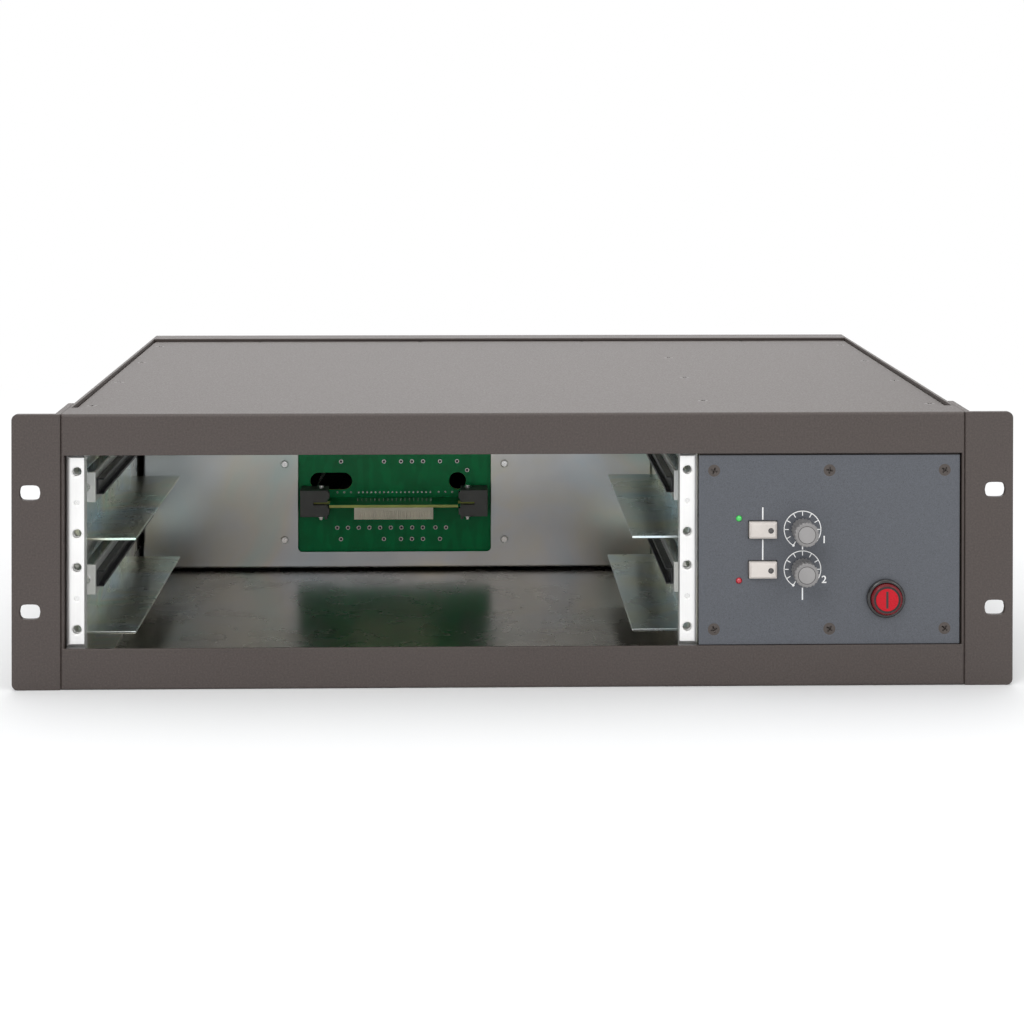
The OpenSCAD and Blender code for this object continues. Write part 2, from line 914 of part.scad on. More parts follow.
// Module socket under a connector board: a ribbed body with its solder pins above the board
module module_socket(level) {
    front = board_y - connector_reach + socket_setback;
    rib_pitch = socket_w / socket_ribs;
    color(beige)
        bay_level(level)
            translate([board_cx, 0, socket_line - pcb_t / 2]) {
                difference() {
                    block([-socket_w / 2, socket_w / 2], [front, front + socket_depth],
                        [-socket_h, 0]);
                    for (i = [1:socket_ribs - 1])
                        translate([i * rib_pitch - socket_w / 2, front, -socket_h - cut])
                            cylinder(h = socket_h - cut, r = socket_rib_d, $fn = 4);
                }
                for (i = [0:pin_count - 1])
                    translate([pin_x(i), front + pin_back, 0])
                        cylinder(h = pcb_t + 1, r = pin_r, $fn = 6);
                block([-socket_w / 2, socket_w / 2],
                    [front + socket_depth - cut, front + pin_back + 2 * pin_r], [-2, 0]);
            }
}

// Moulded holders that clamp the connector boards' ears to the backplane
module board_holders() {
    y0 = board_y - holder_l;
    color([0.22, 0.22, 0.23])
        for (level = [lower, upper], flip = [0, 1])
            bay_level(level)
                translate([board_cx, 0, socket_line])
                    mirror([flip, 0, 0])
                        difference() {
                            union() {
                                block([holder_x, holder_x + holder_w], [y0, board_y],
                                    [-holder_h / 2, holder_h / 2]);
                                for (z = [-1, 1])
                                    translate([0, 0, z * (holder_h / 2 - 3.2)])
                                        block([holder_x - 1.1, holder_x + cut],
                                            [y0, board_y - ear_depth], [-2, 2]);
                                block([holder_x, holder_screw_x - holder_nut_r - fit_gap],
                                    [y0, board_y], [-holder_h / 2 - 1.4, 0]);
                            }
                            block([holder_x - 2 * cut, holder_slot_x], [y0 - cut, board_y + cut],
                                [-pcb_t / 2, pcb_t / 2]);
                            translate([holder_screw_x, board_y - ear_depth / 2, -holder_h])
                                cylinder(h = 2 * holder_h, r = holder_screw_r);
                        }
}

// Upright screws through the holders, with pan heads on top and nuts below
module holder_screws() {
    color(steel)
        for (level = [lower, upper], x = [-holder_screw_x, holder_screw_x])
            bay_level(level)
                translate([board_cx + x, board_y - ear_depth / 2, socket_line]) {
                    translate([0, 0, -holder_h / 2 - 3.4])
                        cylinder(h = holder_h + 3.4, r = holder_screw_r);
                    translate([0, 0, holder_h / 2])
                        cylinder(h = 1.3, r1 = 2.2, r2 = 1.9);
                    translate([0, 0, -holder_h / 2 - 1.9])
                        cylinder(h = 1.9, r = holder_nut_r, $fn = 6);
                }
}

// Places what follows at every control panel screw
module at_panel_screws() {
    for (x = panel_screw_x, z = panel_screw_z)
        translate([x, panel_y, z])
            children();
}

// Countersunk panel screw along Y, with its face at y = 0
module panel_screw(slack) {
    cone_y([panel_screw_head_r + slack, screw_r + slack], [0, panel_screw_head_r - screw_r]);
    rod_y(screw_r + slack, [0, panel_t + sheet + 2]);
}

// Steel tray behind the control panel, held between the divider and the side panel
module psu_frame() {
    color(zinc)
        difference() {
            translate([0, rail_setback, 0])
                folded_tray([divider_x, inner_x], [-rail_h / 2, rail_h / 2], frame_depth, sheet,
                    fold_r);
            block(frame_window_x, [0, rail_setback + sheet + cut],
                [-frame_window_z, frame_window_z]);
            at_panel_screws()
                panel_screw(0);
        }
}

module control_panel() {
    color(blue_grey)
        difference() {
            block([psu_x0, psu_x1], [panel_y, rail_setback], about(panel_z, panel_h / 2));
            at_panel_screws() {
                panel_screw(screw_slack);
                rod_y(panel_screw_head_r + screw_slack, [-cut, 0]);
            }
            for (z = [-led_rise, led_rise])
                translate([led_x, 0, control_z + z])
                    rod_y(led_r, [panel_y - cut, rail_setback + cut]);
            for (level = [lower, upper])
                translate([0, 0, control_z + level * control_pitch / 2]) {
                    block(about(button_x, button_w / 2 + button_clear),
                        [panel_y - cut, rail_setback + cut],
                        about(0, button_h / 2 + button_clear));
                    translate([dial_x, 0, 0])
                        rod_y(bushing_r, [panel_y - cut, rail_setback + cut]);
                }
            translate([mains_x, 0, mains_z])
                rod_y(mains_barrel_r, [panel_y - cut, rail_setback + cut]);
        }
}

module control_panel_screws() {
    color(black)
        at_panel_screws()
            panel_screw(0);
}

// Round indicator with its two leads to the control board
module indicator(level, tint) {
    color(tint)
        translate([led_x, 0, control_z + level * led_rise]) {
            translate([0, panel_y - led_stand + led_r, 0])
                intersection() {
                    sphere(led_r);
                    rod_y(led_r, [-led_r, 0.01]);
                }
            rod_y(led_r, [panel_y - led_stand + led_r, rail_setback + led_back]);
            rod_y(led_rim_r, [rail_setback, rail_setback + 1]);
            for (x = led_lead_x)
                translate([x, 0, 0])
                    rod_y(led_lead_r, [rail_setback + led_back - cut, board_front]);
        }
}

// Push button cap with bevelled edges and a stem
module push_button(level) {
    front = panel_y - button_stand;
    back = rail_setback + button_skirt;
    color(beige)
        translate([button_x, 0, control_z + level * control_pitch / 2]) {
            intersection() {
                along_z([-button_h / 2, button_h / 2])
                    polygon([
                        [-button_w / 2, back],
                        [-button_w / 2, front + button_chamfer],
                        [button_chamfer - button_w / 2, front],
                        [button_w / 2 - button_chamfer, front],
                        [button_w / 2, front + button_chamfer],
                        [button_w / 2, back]
                    ]);
                along_x([-button_w / 2, button_w / 2])
                    polygon([
                        [back, -button_h / 2],
                        [front + button_chamfer, -button_h / 2],
                        [front, button_chamfer - button_h / 2],
                        [front, button_h / 2 - button_chamfer],
                        [front + button_chamfer, button_h / 2],
                        [back, button_h / 2]
                    ]);
            }
            block([-stem_w / 2, stem_w / 2], [back - cut, switch_front + 3],
                [-stem_w / 2, stem_w / 2]);
        }
}

// Switch bodies behind the push buttons, on the control board
module button_switches() {
    well = stem_w / 2 + stem_clear;
    color(black)
        for (level = [lower, upper])
            translate([button_x, 0, control_z + level * control_pitch / 2])
                difference() {
                    block([-switch_w / 2, switch_w / 2], [switch_front, board_front],
                        [-switch_h / 2, switch_h / 2]);
                    block([-well, well], [switch_front - cut, board_front - 2], [-well, well]);
                }
}

// Fluted knob with a raised cap on its face
module level_knob(level) {
    front = knob_back - knob_l;
    color(grey)
        translate([dial_x, 0, control_z + level * control_pitch / 2]) {
            difference() {
                union() {
                    rod_y(knob_d / 2, [front + 0.6, knob_back]);
                    cone_y([knob_d / 2 - 0.6, knob_d / 2], [front, front + 0.6]);
                }
                for (i = [0:knob_flutes - 1])
                    rotate([0, i * 360 / knob_flutes, 0])
                        translate([knob_d / 2 + 0.15, 0, 0])
                            rod_y(flute_r, [front - cut, knob_back + cut]);
                rod_y(shaft_r, [knob_back - shaft_in_knob, knob_back + cut]);
            }
            rod_y(knob_cap_r, [front - knob_cap_h, front + cut]);
        }
}

module knob_shaft(level) {
    color(steel)
        translate([dial_x, 0, control_z + level * control_pitch / 2])
            rod_y(shaft_r, [knob_back - shaft_in_knob, control_front + 6]);
}

// Rotary level controls: a bushing through the panel and a can on the control board
module level_controls() {
    color(steel)
        for (level = [lower, upper])
            translate([dial_x, 0, control_z + level * control_pitch / 2])
                difference() {
                    union() {
                        rod_y(bushing_r, [panel_y, control_front]);
                        rod_y(bushing_r + 2, [rail_setback, rail_setback + 1.5]);
                        rod_y(control_r, [control_front, board_front]);
                    }
                    rod_y(shaft_r + shaft_slack, [panel_y - cut, control_front + 7]);
                }
}

// Mains switch: collar, threaded barrel and contact block
module mains_collar() {
    bore_r = mains_button_d / 2 + mains_clear;
    collar_r = mains_collar_d / 2;
    color(black)
        translate([mains_x, 0, mains_z]) {
            difference() {
                union() {
                    cone_y([collar_r - 0.7, collar_r], [panel_y - mains_stand,
                        panel_y - mains_stand + 0.7]);
                    rod_y(collar_r, [panel_y - mains_stand + 0.7, panel_y]);
                    rod_y(mains_barrel_r, [panel_y, panel_y + mains_barrel_l]);
                    rod_y(mains_nut_r, [rail_setback, rail_setback + 2.5]);
                }
                rod_y(bore_r, [panel_y - mains_stand - cut, panel_y + mains_bore_l]);
            }
            block([-9, 9], [panel_y + mains_barrel_l - cut, panel_y + mains_barrel_l + 16],
                [-7, 7]);
        }
}

// Round illuminated button of the mains switch
module mains_button() {
    front = panel_y - mains_stand - mains_proud;
    r = mains_button_d / 2;
    color([0.78, 0.06, 0.09])
        translate([mains_x, 0, mains_z])
            difference() {
                union() {
                    cone_y([r - 0.8, r], [front, front + 0.8]);
                    rod_y(r, [front + 0.8, front + mains_core_l]);
                }
                difference() {
                    rod_y(r - 1.4, [front - cut, front + 0.4]);
                    rod_y(r - 2.1, [front - 2 * cut, front + 1]);
                }
            }
}

module control_board() {
    color(pcb_green)
        block(board_x, [board_front, board_front + pcb_t], [-board_z, board_z]);
}

// Toroidal transformer: a wound ring with round edges
module transformer() {
    color([0.80, 0.66, 0.22])
        translate([transformer_x, transformer_y, floor_z + transformer_h / 2])
            rotate_extrude($fn = 64)
                translate([(transformer_d / 2 + transformer_bore_r) / 2, 0])
                    round_rect(transformer_d / 2 - transformer_bore_r, transformer_h, winding_r);
}

// Clamp washer and bolt through the transformer
module transformer_bolt() {
    top = floor_z + transformer_h;
    color(steel)
        translate([transformer_x, transformer_y, 0]) {
            translate([0, 0, top])
                cylinder(h = washer_t, r = washer_r);
            translate([0, 0, top + washer_t])
                cylinder(h = 4, r = 5.5, $fn = 6);
            translate([0, 0, floor_z - cover_t])
                cylinder(h = transformer_h + cover_t + washer_t, r = bolt_r);
        }
}

module psu_board() {
    color(pcb_green)
        block(psu_board_x, psu_board_y, [floor_z + pillar_h, floor_z + pillar_h + pcb_t]);
}

module psu_pillars() {
    color(steel)
        for (x = [psu_board_x[0] + pillar_inset, psu_board_x[1] - pillar_inset],
            y = [psu_board_y[0] + pillar_inset, psu_board_y[1] - pillar_inset])
            translate([x, y, floor_z])
                cylinder(h = pillar_h, r = pillar_r, $fn = 6);
}

module psu_capacitors() {
    color([0.12, 0.16, 0.30])
        for (x = capacitor_x, y = capacitor_y)
            translate([x, y, floor_z + pillar_h + pcb_t]) {
                cylinder(h = capacitor_h - 1, r = capacitor_r);
                cylinder(h = capacitor_h, r = capacitor_r - 1);
            }
}

// Three-pin mains inlet with its flange on the rear panel
module mains_inlet() {
    mouth = body_d + inlet_flange_t;
    floor_y = mouth - inlet_cavity_l;
    color(black)
        translate([inlet_x, 0, inlet_z]) {
            difference() {
                union() {
                    along_y([body_d, mouth])
                        round_rect(inlet_flange[0], inlet_flange[1], 3);
                    along_y([body_d - inlet_l, body_d])
                        square(inlet_body, center = true);
                }
                along_y([floor_y, mouth + cut])
                    polygon([
                        [-inlet_cavity[0] / 2, -inlet_cavity[1] / 2],
                        [inlet_cavity[0] / 2, -inlet_cavity[1] / 2],
                        [inlet_cavity[0] / 2, 3],
                        [inlet_cavity[0] / 2 - 5, inlet_cavity[1] / 2],
                        [5 - inlet_cavity[0] / 2, inlet_cavity[1] / 2],
                        [-inlet_cavity[0] / 2, 3]
                    ]);
                for (x = [-20, 20])
                    translate([x, 0, 0])
                        rod_y(1.6, [body_d - cut, mouth + cut]);
            }
            for (p = [[-7, -2], [7, -2], [0, 3]])
                translate([p[0], 0, p[1]])
                    along_y([floor_y - cut, floor_y + inlet_pin_l])
                        square([inlet_pin[1], inlet_pin[0]], center = true);
        }
}

// Three-pole audio sockets: two inputs and one output for each channel
module audio_sockets() {
    face = body_d + audio_flange_t;
    color(black)
        for (i = [0:len(audio_x) - 1], z = audio_z)
            translate([audio_x[i], 0, z]) {
                difference() {
                    union() {
                        along_y([body_d, face])
                            round_rect(audio_flange[0], audio_flange[1], 3);
                        rod_y(audio_r, [body_d - audio_l, body_d]);
                    }
                    if (i == 0)
                        rod_y(audio_cavity_r, [face - audio_cavity_l, face + cut]);
                    else {
                        difference() {
                            rod_y(audio_ring_r[1], [face - 8, face + cut]);
                            rod_y(audio_ring_r[0], [face - 9, face + 2 * cut]);
                        }
                        for (a = [30, 150, 270])
                            rotate([0, a, 0])
                                translate([audio_pin_ring, 0, 0])
                                    rod_y(audio_pin_r + 0.3, [face - 8, face + cut]);
                    }
                    for (s = [-1, 1])
                        translate([s * 9.5, 0, s * 12])
                            rod_y(1.6, [body_d - cut, face + cut]);
                }
                if (i == 0)
                    for (a = [30, 150, 270])
                        rotate([0, a, 0])
                            translate([audio_pin_ring, 0, 0])
                                rod_y(audio_pin_r, [face - audio_cavity_l - cut,
                                    face - audio_cavity_l + audio_pin_l]);
            }
}

front_bezel();
side_panel(left);  // left_side_panel
side_panel(right);  // right_side_panel
top_cover();
bottom_cover();
rear_panel();
color(paint) mirror([1, 0, 0]) rack_ear();  // left_rack_ear
color(paint) rack_ear();  // right_rack_ear
ear_screws();
cover_angles();
cover_screws();
bay_side_plate();
bay_divider();
color(aluminium) bay_side(left) module_rail();  // left_module_rail
color(aluminium) bay_side(right) module_rail();  // right_module_rail
bay_screws();
bay_side(left) bay_level(upper) module_shelf();  // left_upper_shelf
bay_side(left) bay_level(lower) module_shelf();  // left_lower_shelf
bay_side(right) bay_level(upper) module_shelf();  // right_upper_shelf
bay_side(right) bay_level(lower) module_shelf();  // right_lower_shelf
bay_side(left) bay_level(upper) guide_bracket();  // left_upper_bracket
bay_side(left) bay_level(lower) guide_bracket();  // left_lower_bracket
bay_side(right) bay_level(upper) guide_bracket();  // right_upper_bracket
bay_side(right) bay_level(lower) guide_bracket();  // right_lower_bracket
bay_side(left) bay_level(upper) module_guide();  // left_upper_guide
bay_side(left) bay_level(lower) module_guide();  // left_lower_guide
bay_side(right) bay_level(upper) module_guide();  // right_upper_guide
bay_side(right) bay_level(lower) module_guide();  // right_lower_guide
bay_rear_plate();
backplane_board();
backplane_studs();
connector_board(upper);  // upper_connector_board
connector_board(lower);  // lower_connector_board
module_socket(upper);  // upper_socket
module_socket(lower);  // lower_socket
board_holders();
holder_screws();
psu_frame();
control_panel();
control_panel_screws();
indicator(upper, [0.35, 0.85, 0.40]);  // green_led
indicator(lower, [0.75, 0.08, 0.12]);  // red_led
push_button(upper);  // upper_button
push_button(lower);  // lower_button
button_switches();
level_knob(upper);  // upper_knob
level_knob(lower);  // lower_knob
knob_shaft(upper);  // upper_knob_shaft
knob_shaft(lower);  // lower_knob_shaft
level_controls();
mains_collar();
mains_button();
control_board();
transformer();
transformer_bolt();
psu_board();
psu_pillars();
psu_capacitors();
mains_inlet();
audio_sockets();
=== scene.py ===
import json
import math

import bmesh
import bpy
from mathutils import Matrix, Vector

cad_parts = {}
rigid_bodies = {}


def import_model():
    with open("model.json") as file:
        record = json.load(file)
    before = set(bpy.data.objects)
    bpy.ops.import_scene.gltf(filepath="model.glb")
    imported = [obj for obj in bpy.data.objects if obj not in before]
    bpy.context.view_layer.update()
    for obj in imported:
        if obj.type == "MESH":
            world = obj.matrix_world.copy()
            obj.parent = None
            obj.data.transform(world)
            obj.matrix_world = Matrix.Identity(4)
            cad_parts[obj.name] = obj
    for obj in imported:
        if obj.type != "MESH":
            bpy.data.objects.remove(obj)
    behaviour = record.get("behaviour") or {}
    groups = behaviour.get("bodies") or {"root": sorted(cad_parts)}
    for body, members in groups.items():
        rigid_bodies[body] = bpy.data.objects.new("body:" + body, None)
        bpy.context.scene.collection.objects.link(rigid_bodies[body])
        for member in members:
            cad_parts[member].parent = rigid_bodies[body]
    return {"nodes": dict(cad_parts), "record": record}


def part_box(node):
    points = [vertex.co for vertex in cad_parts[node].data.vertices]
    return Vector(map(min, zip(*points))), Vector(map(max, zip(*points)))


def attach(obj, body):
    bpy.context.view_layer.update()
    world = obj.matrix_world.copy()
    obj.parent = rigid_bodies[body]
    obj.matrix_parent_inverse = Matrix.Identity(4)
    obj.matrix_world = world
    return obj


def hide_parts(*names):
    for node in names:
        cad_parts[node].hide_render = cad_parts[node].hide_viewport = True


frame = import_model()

# Rack card cage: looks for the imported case. Sizes are in metres, in the case's own frame,
# except where a comment says millimetres

for stray in [o for o in bpy.context.scene.objects if o.type in ("LIGHT", "CAMERA") or o.name == "Cube"]:
    bpy.data.objects.remove(stray)
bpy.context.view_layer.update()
mm = 0.001
record = frame["record"]
bodyOfNode = {n: b for b, names in record["behaviour"]["bodies"].items() for n in names}
slotOfNode = {s["node"]: s["material_slot"] for s in record["subparts"]}
mountAt = {m["name"]: m for m in record["mounts"]}
print("case loaded:", len(frame["nodes"]), "nodes")


def startMaterial(name):
    mat = bpy.data.materials.new(name)
    mat.use_nodes = True
    tree = mat.node_tree
    tree.nodes.clear()
    out = tree.nodes.new("ShaderNodeOutputMaterial")
    skin = tree.nodes.new("ShaderNodeBsdfPrincipled")
    tree.links.new(skin.outputs["BSDF"], out.inputs["Surface"])
    return mat, tree, skin


def setInput(tree, socket, value):
    if isinstance(value, bpy.types.NodeSocket):
        tree.links.new(value, socket)
    else:
        socket.default_value = value


# Underscores in the keywords stand for the spaces in the names of the node's inputs.
def feed(tree, node, **inputs):
    for key, value in inputs.items():
        setInput(tree, node.inputs[key.replace("_", " ")], value)


def addNode(tree, kind, settings=None, **inputs):
    made = tree.nodes.new(kind)
    for key, value in (settings or {}).items():
        setattr(made, key, value)
    feed(tree, made, **inputs)
    return made


def calc(tree, operation, a, b=0.0):
    made = addNode(tree, "ShaderNodeMath", {"operation": operation})
    setInput(tree, made.inputs[0], a)
    setInput(tree, made.inputs[1], b)
    return made.outputs[0]


def placeOn(tree, stretch=(1, 1, 1), turn=(0, 0, 0)):
    coords = addNode(tree, "ShaderNodeTexCoord").outputs["Object"]
    return addNode(tree, "ShaderNodeMapping", Vector=coords, Scale=stretch, Rotation=turn).outputs["Vector"]


def cloud(tree, where, scale, detail=2.0, roughness=0.5, distortion=0.0):
    return addNode(tree, "ShaderNodeTexNoise", Vector=where, Scale=scale, Detail=detail,
                   Roughness=roughness, Distortion=distortion).outputs["Fac"]


def ramp(tree, fac, stops):
    made = addNode(tree, "ShaderNodeValToRGB", Fac=fac)
    band = made.color_ramp
    while len(band.elements) < len(stops):
        band.elements.new(0.5)
    for element, (at, colour) in zip(band.elements, stops):
        element.position = at
        element.color = colour if len(colour) == 4 else (*colour, 1)
    return made.outputs["Color"]


def mixColour(tree, fac, a, b, blend="MIX"):
    made = addNode(tree, "ShaderNodeMix", {"data_type": "RGBA", "blend_type": blend})
    setInput(tree, made.inputs[0], fac)
    for socket, value in ((made.inputs[6], a), (made.inputs[7], b)):
        linked = isinstance(value, bpy.types.NodeSocket)
        setInput(tree, socket, value if linked or len(value) == 4 else (*value, 1))
    return made.outputs[2]


def spread(tree, fac, low, high, fromLow=0.3, fromHigh=0.7):
    return addNode(tree, "ShaderNodeMapRange", Value=fac, From_Min=fromLow, From_Max=fromHigh, To_Min=low,
                   To_Max=high).outputs["Result"]


def bump(tree, height, strength, distance, under=None):
    made = addNode(tree, "ShaderNodeBump", Height=height, Strength=strength, Distance=distance)
    if under is not None:
        tree.links.new(under, made.inputs["Normal"])
    return made.outputs["Normal"]


def shade(colour, share):
    return tuple(c * share for c in colour)


def powderCoat(name, colour, grain=1150, depth=0.00016, gloss=0.46):
    mat, tree, skin = startMaterial(name)
    where = placeOn(tree)
    fine = cloud(tree, where, grain, 3.0, 0.62)
    coarse = cloud(tree, where, grain * 0.38, 2.0, 0.5)
    broad = cloud(tree, where, 7.0, 3.0, 0.6)
    tint = ramp(tree, fine, [(0.30, shade(colour, 0.74)), (0.52, colour), (0.74, shade(colour, 1.34))])
    tint = mixColour(tree, spread(tree, broad, 0.0, 0.12), tint, shade(colour, 1.5))
    lumps = bump(tree, coarse, 0.5, depth)
    feed(tree, skin, Base_Color=tint, Roughness=spread(tree, fine, gloss - 0.07, gloss + 0.12),
         Specular_IOR_Level=0.42, Normal=bump(tree, fine, 0.55, depth * 0.55, lumps))
    return mat


def zincPlate(name, colour, gloss=0.27, hue=0.55, along=(1, 0.03, 1), streak=0.06):
    mat, tree, skin = startMaterial(name)
    where = placeOn(tree)
    drift = cloud(tree, where, 13.0, 4.0, 0.55, 0.6)
    patches = cloud(tree, placeOn(tree, (1, 1, 1), (0.7, 0.2, 0.4)), 31.0, 3.0, 0.5, 0.4)
    fine = cloud(tree, placeOn(tree, along), 900.0, 3.0, 0.6)
    mottle = cloud(tree, where, 160.0, 3.0, 0.65)
    warm = (colour[0] * 1.08, colour[1] * 0.99, colour[2] * 0.78)
    cool = (colour[0] * 0.70, colour[1] * 0.94, colour[2] * 1.08)
    green = (colour[0] * 0.78, colour[1] * 1.03, colour[2] * 0.88)
    tint = ramp(tree, drift, [(0.30, cool), (0.45, colour), (0.56, warm), (0.68, green)])
    tint = mixColour(tree, hue, colour, tint)
    tint = mixColour(tree, spread(tree, patches, 0.0, 0.35), tint, shade(colour, 0.86))
    tint = mixColour(tree, spread(tree, mottle, 0.0, 0.05), tint, shade(colour, 1.08))
    rough = calc(tree, "ADD", spread(tree, patches, gloss - 0.02, gloss + 0.05),
                 spread(tree, mottle, -0.006, 0.010))
    waves = bump(tree, patches, 0.015, 0.0006)
    feed(tree, skin, Base_Color=tint, Metallic=1.0, Roughness=rough,
         Normal=bump(tree, fine, streak, 0.00002, waves))
    return mat


def bareMetal(name, colour, gloss, along=(1, 1, 1), scale=700.0, depth=0.00003, metallic=1.0):
    mat, tree, skin = startMaterial(name)
    fine = cloud(tree, placeOn(tree, along), scale, 4.0, 0.65)
    patch = cloud(tree, placeOn(tree), 45.0, 3.0, 0.5)
    tint = ramp(tree, patch, [(0.30, shade(colour, 0.93)), (0.70, colour)])
    tint = mixColour(tree, spread(tree, fine, 0.0, 0.35), tint, shade(colour, 0.86))
    feed(tree, skin, Base_Color=tint, Metallic=metallic, Normal=bump(tree, fine, 0.5, depth),
         Roughness=spread(tree, fine, gloss - 0.05, gloss + 0.10))
    return mat


def plastic(name, colour, gloss=0.42, grain=1600.0, depth=0.00003, wear=0.12, coat=0.0, glow=0.0,
            shine=0.5):
    mat, tree, skin = startMaterial(name)
    where = placeOn(tree)
    fine = cloud(tree, where, grain, 2.0, 0.5)
    broad = cloud(tree, where, 60.0, 3.0, 0.55)
    tint = ramp(tree, broad, [(0.28, shade(colour, 1.0 - wear)), (0.72, shade(colour, 1.0 + wear))])
    tint = mixColour(tree, spread(tree, fine, 0.0, 0.18), tint, shade(colour, 1.25))
    feed(tree, skin, Base_Color=tint, Roughness=spread(tree, fine, gloss - 0.04, gloss + 0.08),
         Specular_IOR_Level=shine, Coat_Weight=coat, Coat_Roughness=0.06,
         Normal=bump(tree, fine, 0.4, depth))
    if glow:
        feed(tree, skin, Emission_Color=(*colour, 1), Emission_Strength=glow)
    return mat


def boardLacquer(name, colour):
    mat, tree, skin = startMaterial(name)
    where = placeOn(tree)
    weave = [addNode(tree, "ShaderNodeTexWave", {"bands_direction": way}, Vector=where, Scale=420.0,
                     Distortion=0.6).outputs["Color"] for way in ("X", "Z")]
    cloth = mixColour(tree, 0.5, *weave)
    broad = cloud(tree, where, 38.0, 4.0, 0.6, 0.4)
    copper = cloud(tree, placeOn(tree, (1, 1, 0.25), (0, 0.785, 0)), 230.0, 1.0, 0.3)
    tint = ramp(tree, broad, [(0.30, shade(colour, 0.82)), (0.68, shade(colour, 1.12))])
    tint = mixColour(tree, spread(tree, copper, 0.0, 0.22, 0.54, 0.58), tint, shade(colour, 1.5))
    tint = mixColour(tree, 0.08, tint, cloth, "OVERLAY")
    feed(tree, skin, Base_Color=tint, Roughness=spread(tree, broad, 0.30, 0.42), Specular_IOR_Level=0.22,
         Normal=bump(tree, cloth, 0.12, 0.00003))
    return mat


print("mixing finishes")
casePaint = powderCoat("casePaint", (0.066, 0.0525, 0.0475))
panelPaint = powderCoat("panelPaint", (0.088, 0.094, 0.108), 2600, 0.00003, 0.34)
zincSteel = zincPlate("zincSteel", (0.86, 0.875, 0.85))
# The shelves' zinc is a lighter, cooler copy of the zinc plate: painted light where the shelves are lit
zincShelf = zincPlate("zincShelf", (0.88, 0.96, 0.96), 0.25, 0.9, (0.03, 1, 1), 0.0)
# The bottom cover's inner zinc is darkened to a brownish grey: painted reflection of the dark cover over it
zincFloor = zincPlate("zincFloor", (0.43, 0.39, 0.365), 0.25, 0.3, (0.03, 1, 1), 0.0)
# The rear plate's zinc is a darker copy of the zinc plate: painted reflection of the dark floor
zincWall = zincPlate("zincWall", (0.53, 0.54, 0.555), 0.31, 0.6, (1, 1, 0.03), 0.05)
railMetal = bareMetal("railMetal", (0.93, 0.925, 0.915), 0.42, (1, 1, 0.02), 900.0, 0.00003, 0.75)
brightSteel = bareMetal("brightSteel", (0.80, 0.80, 0.79), 0.24)
blackSteel = bareMetal("blackSteel", (0.090, 0.076, 0.069), 0.36, (1, 1, 1), 1100.0, 0.00003, 0.5)
guideBlack = plastic("guideBlack", (0.018, 0.018, 0.020), 0.34)
holderGrey = plastic("holderGrey", (0.105, 0.106, 0.104), 0.5)
socketCream = plastic("socketCream", (0.90, 0.84, 0.70), 0.46)
buttonCream = plastic("buttonCream", (0.66, 0.61, 0.57), 0.40)
knobGrey = plastic("knobGrey", (0.215, 0.207, 0.205), 0.30, 1600.0, 0.00003, 0.12, 0.25)
knobCapGrey = plastic("knobCapGrey", (0.285, 0.275, 0.272), 0.33)
glossBlack = plastic("glossBlack", (0.012, 0.011, 0.011), 0.16, 2200.0, 0.00001, 0.1, 0.4)
mainsRed = plastic("mainsRed", (0.48, 0.006, 0.016), 0.28, 2200.0, 0.00001, 0.1, 0.0, 0.04, 0.22)
mainsDeep = plastic("mainsDeep", (0.14, 0.004, 0.008), 0.24, 2200.0, 0.00001, 0.1, 0.1, 0.0, 0.3)
ledGreen = plastic("ledGreen", (0.05, 0.50, 0.09), 0.14, 2600.0, 0.00001, 0.05, 0.6, 0.18)
ledRed = plastic("ledRed", (0.42, 0.008, 0.020), 0.14, 2600.0, 0.00001, 0.05, 0.8, 0.08)
smokeLens = plastic("smokeLens", (0.05, 0.045, 0.045), 0.12, 2600.0, 0.00001, 0.05, 0.8)
printWhite = plastic("printWhite", (0.86, 0.86, 0.85), 0.55, 2600.0, 0.00001, 0.03)
inkBlack = plastic("inkBlack", (0.020, 0.018, 0.018), 0.45, 2600.0, 0.00001, 0.05)
boardGreen = boardLacquer("boardGreen", (0.0015, 0.30, 0.095))
boardEdge = plastic("boardEdge", (0.55, 0.60, 0.16), 0.45, 900.0, 0.00006, 0.2)
solderTin = bareMetal("solderTin", (0.62, 0.62, 0.60), 0.24, (1, 1, 1), 1500.0)
tapeYellow = plastic("tapeYellow", (0.62, 0.42, 0.06), 0.25, 800.0, 0.0001, 0.2)
sleeveBlue = plastic("sleeveBlue", (0.02, 0.03, 0.10), 0.2, 900.0)

finishOfSlot = {
    "case_paint": casePaint, "black_screws": blackSteel, "zinc_steel": zincSteel,
    "rail_aluminium": railMetal, "bright_steel": brightSteel, "guide_plastic": guideBlack,
    "board_green": boardGreen, "socket_plastic": socketCream, "holder_plastic": holderGrey,
    "panel_paint": panelPaint, "green_lens": ledGreen, "red_lens": ledRed, "button_plastic": buttonCream,
    "knob_plastic": knobGrey, "black_plastic": glossBlack, "mains_lens": mainsRed,
    "winding_tape": tapeYellow, "capacitor_sleeve": sleeveBlue,
}
for nodeName, cadObject in frame["nodes"].items():
    cadObject.data.materials.clear()
    cadObject.data.materials.append(finishOfSlot[slotOfNode[nodeName]])


seamGap = 0.002 * mm


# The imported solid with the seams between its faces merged
def mergedMesh(nodeName):
    work = bmesh.new()
    work.from_mesh(frame["nodes"][nodeName].data)
    bmesh.ops.remove_doubles(work, verts=work.verts, dist=seamGap)
    return work


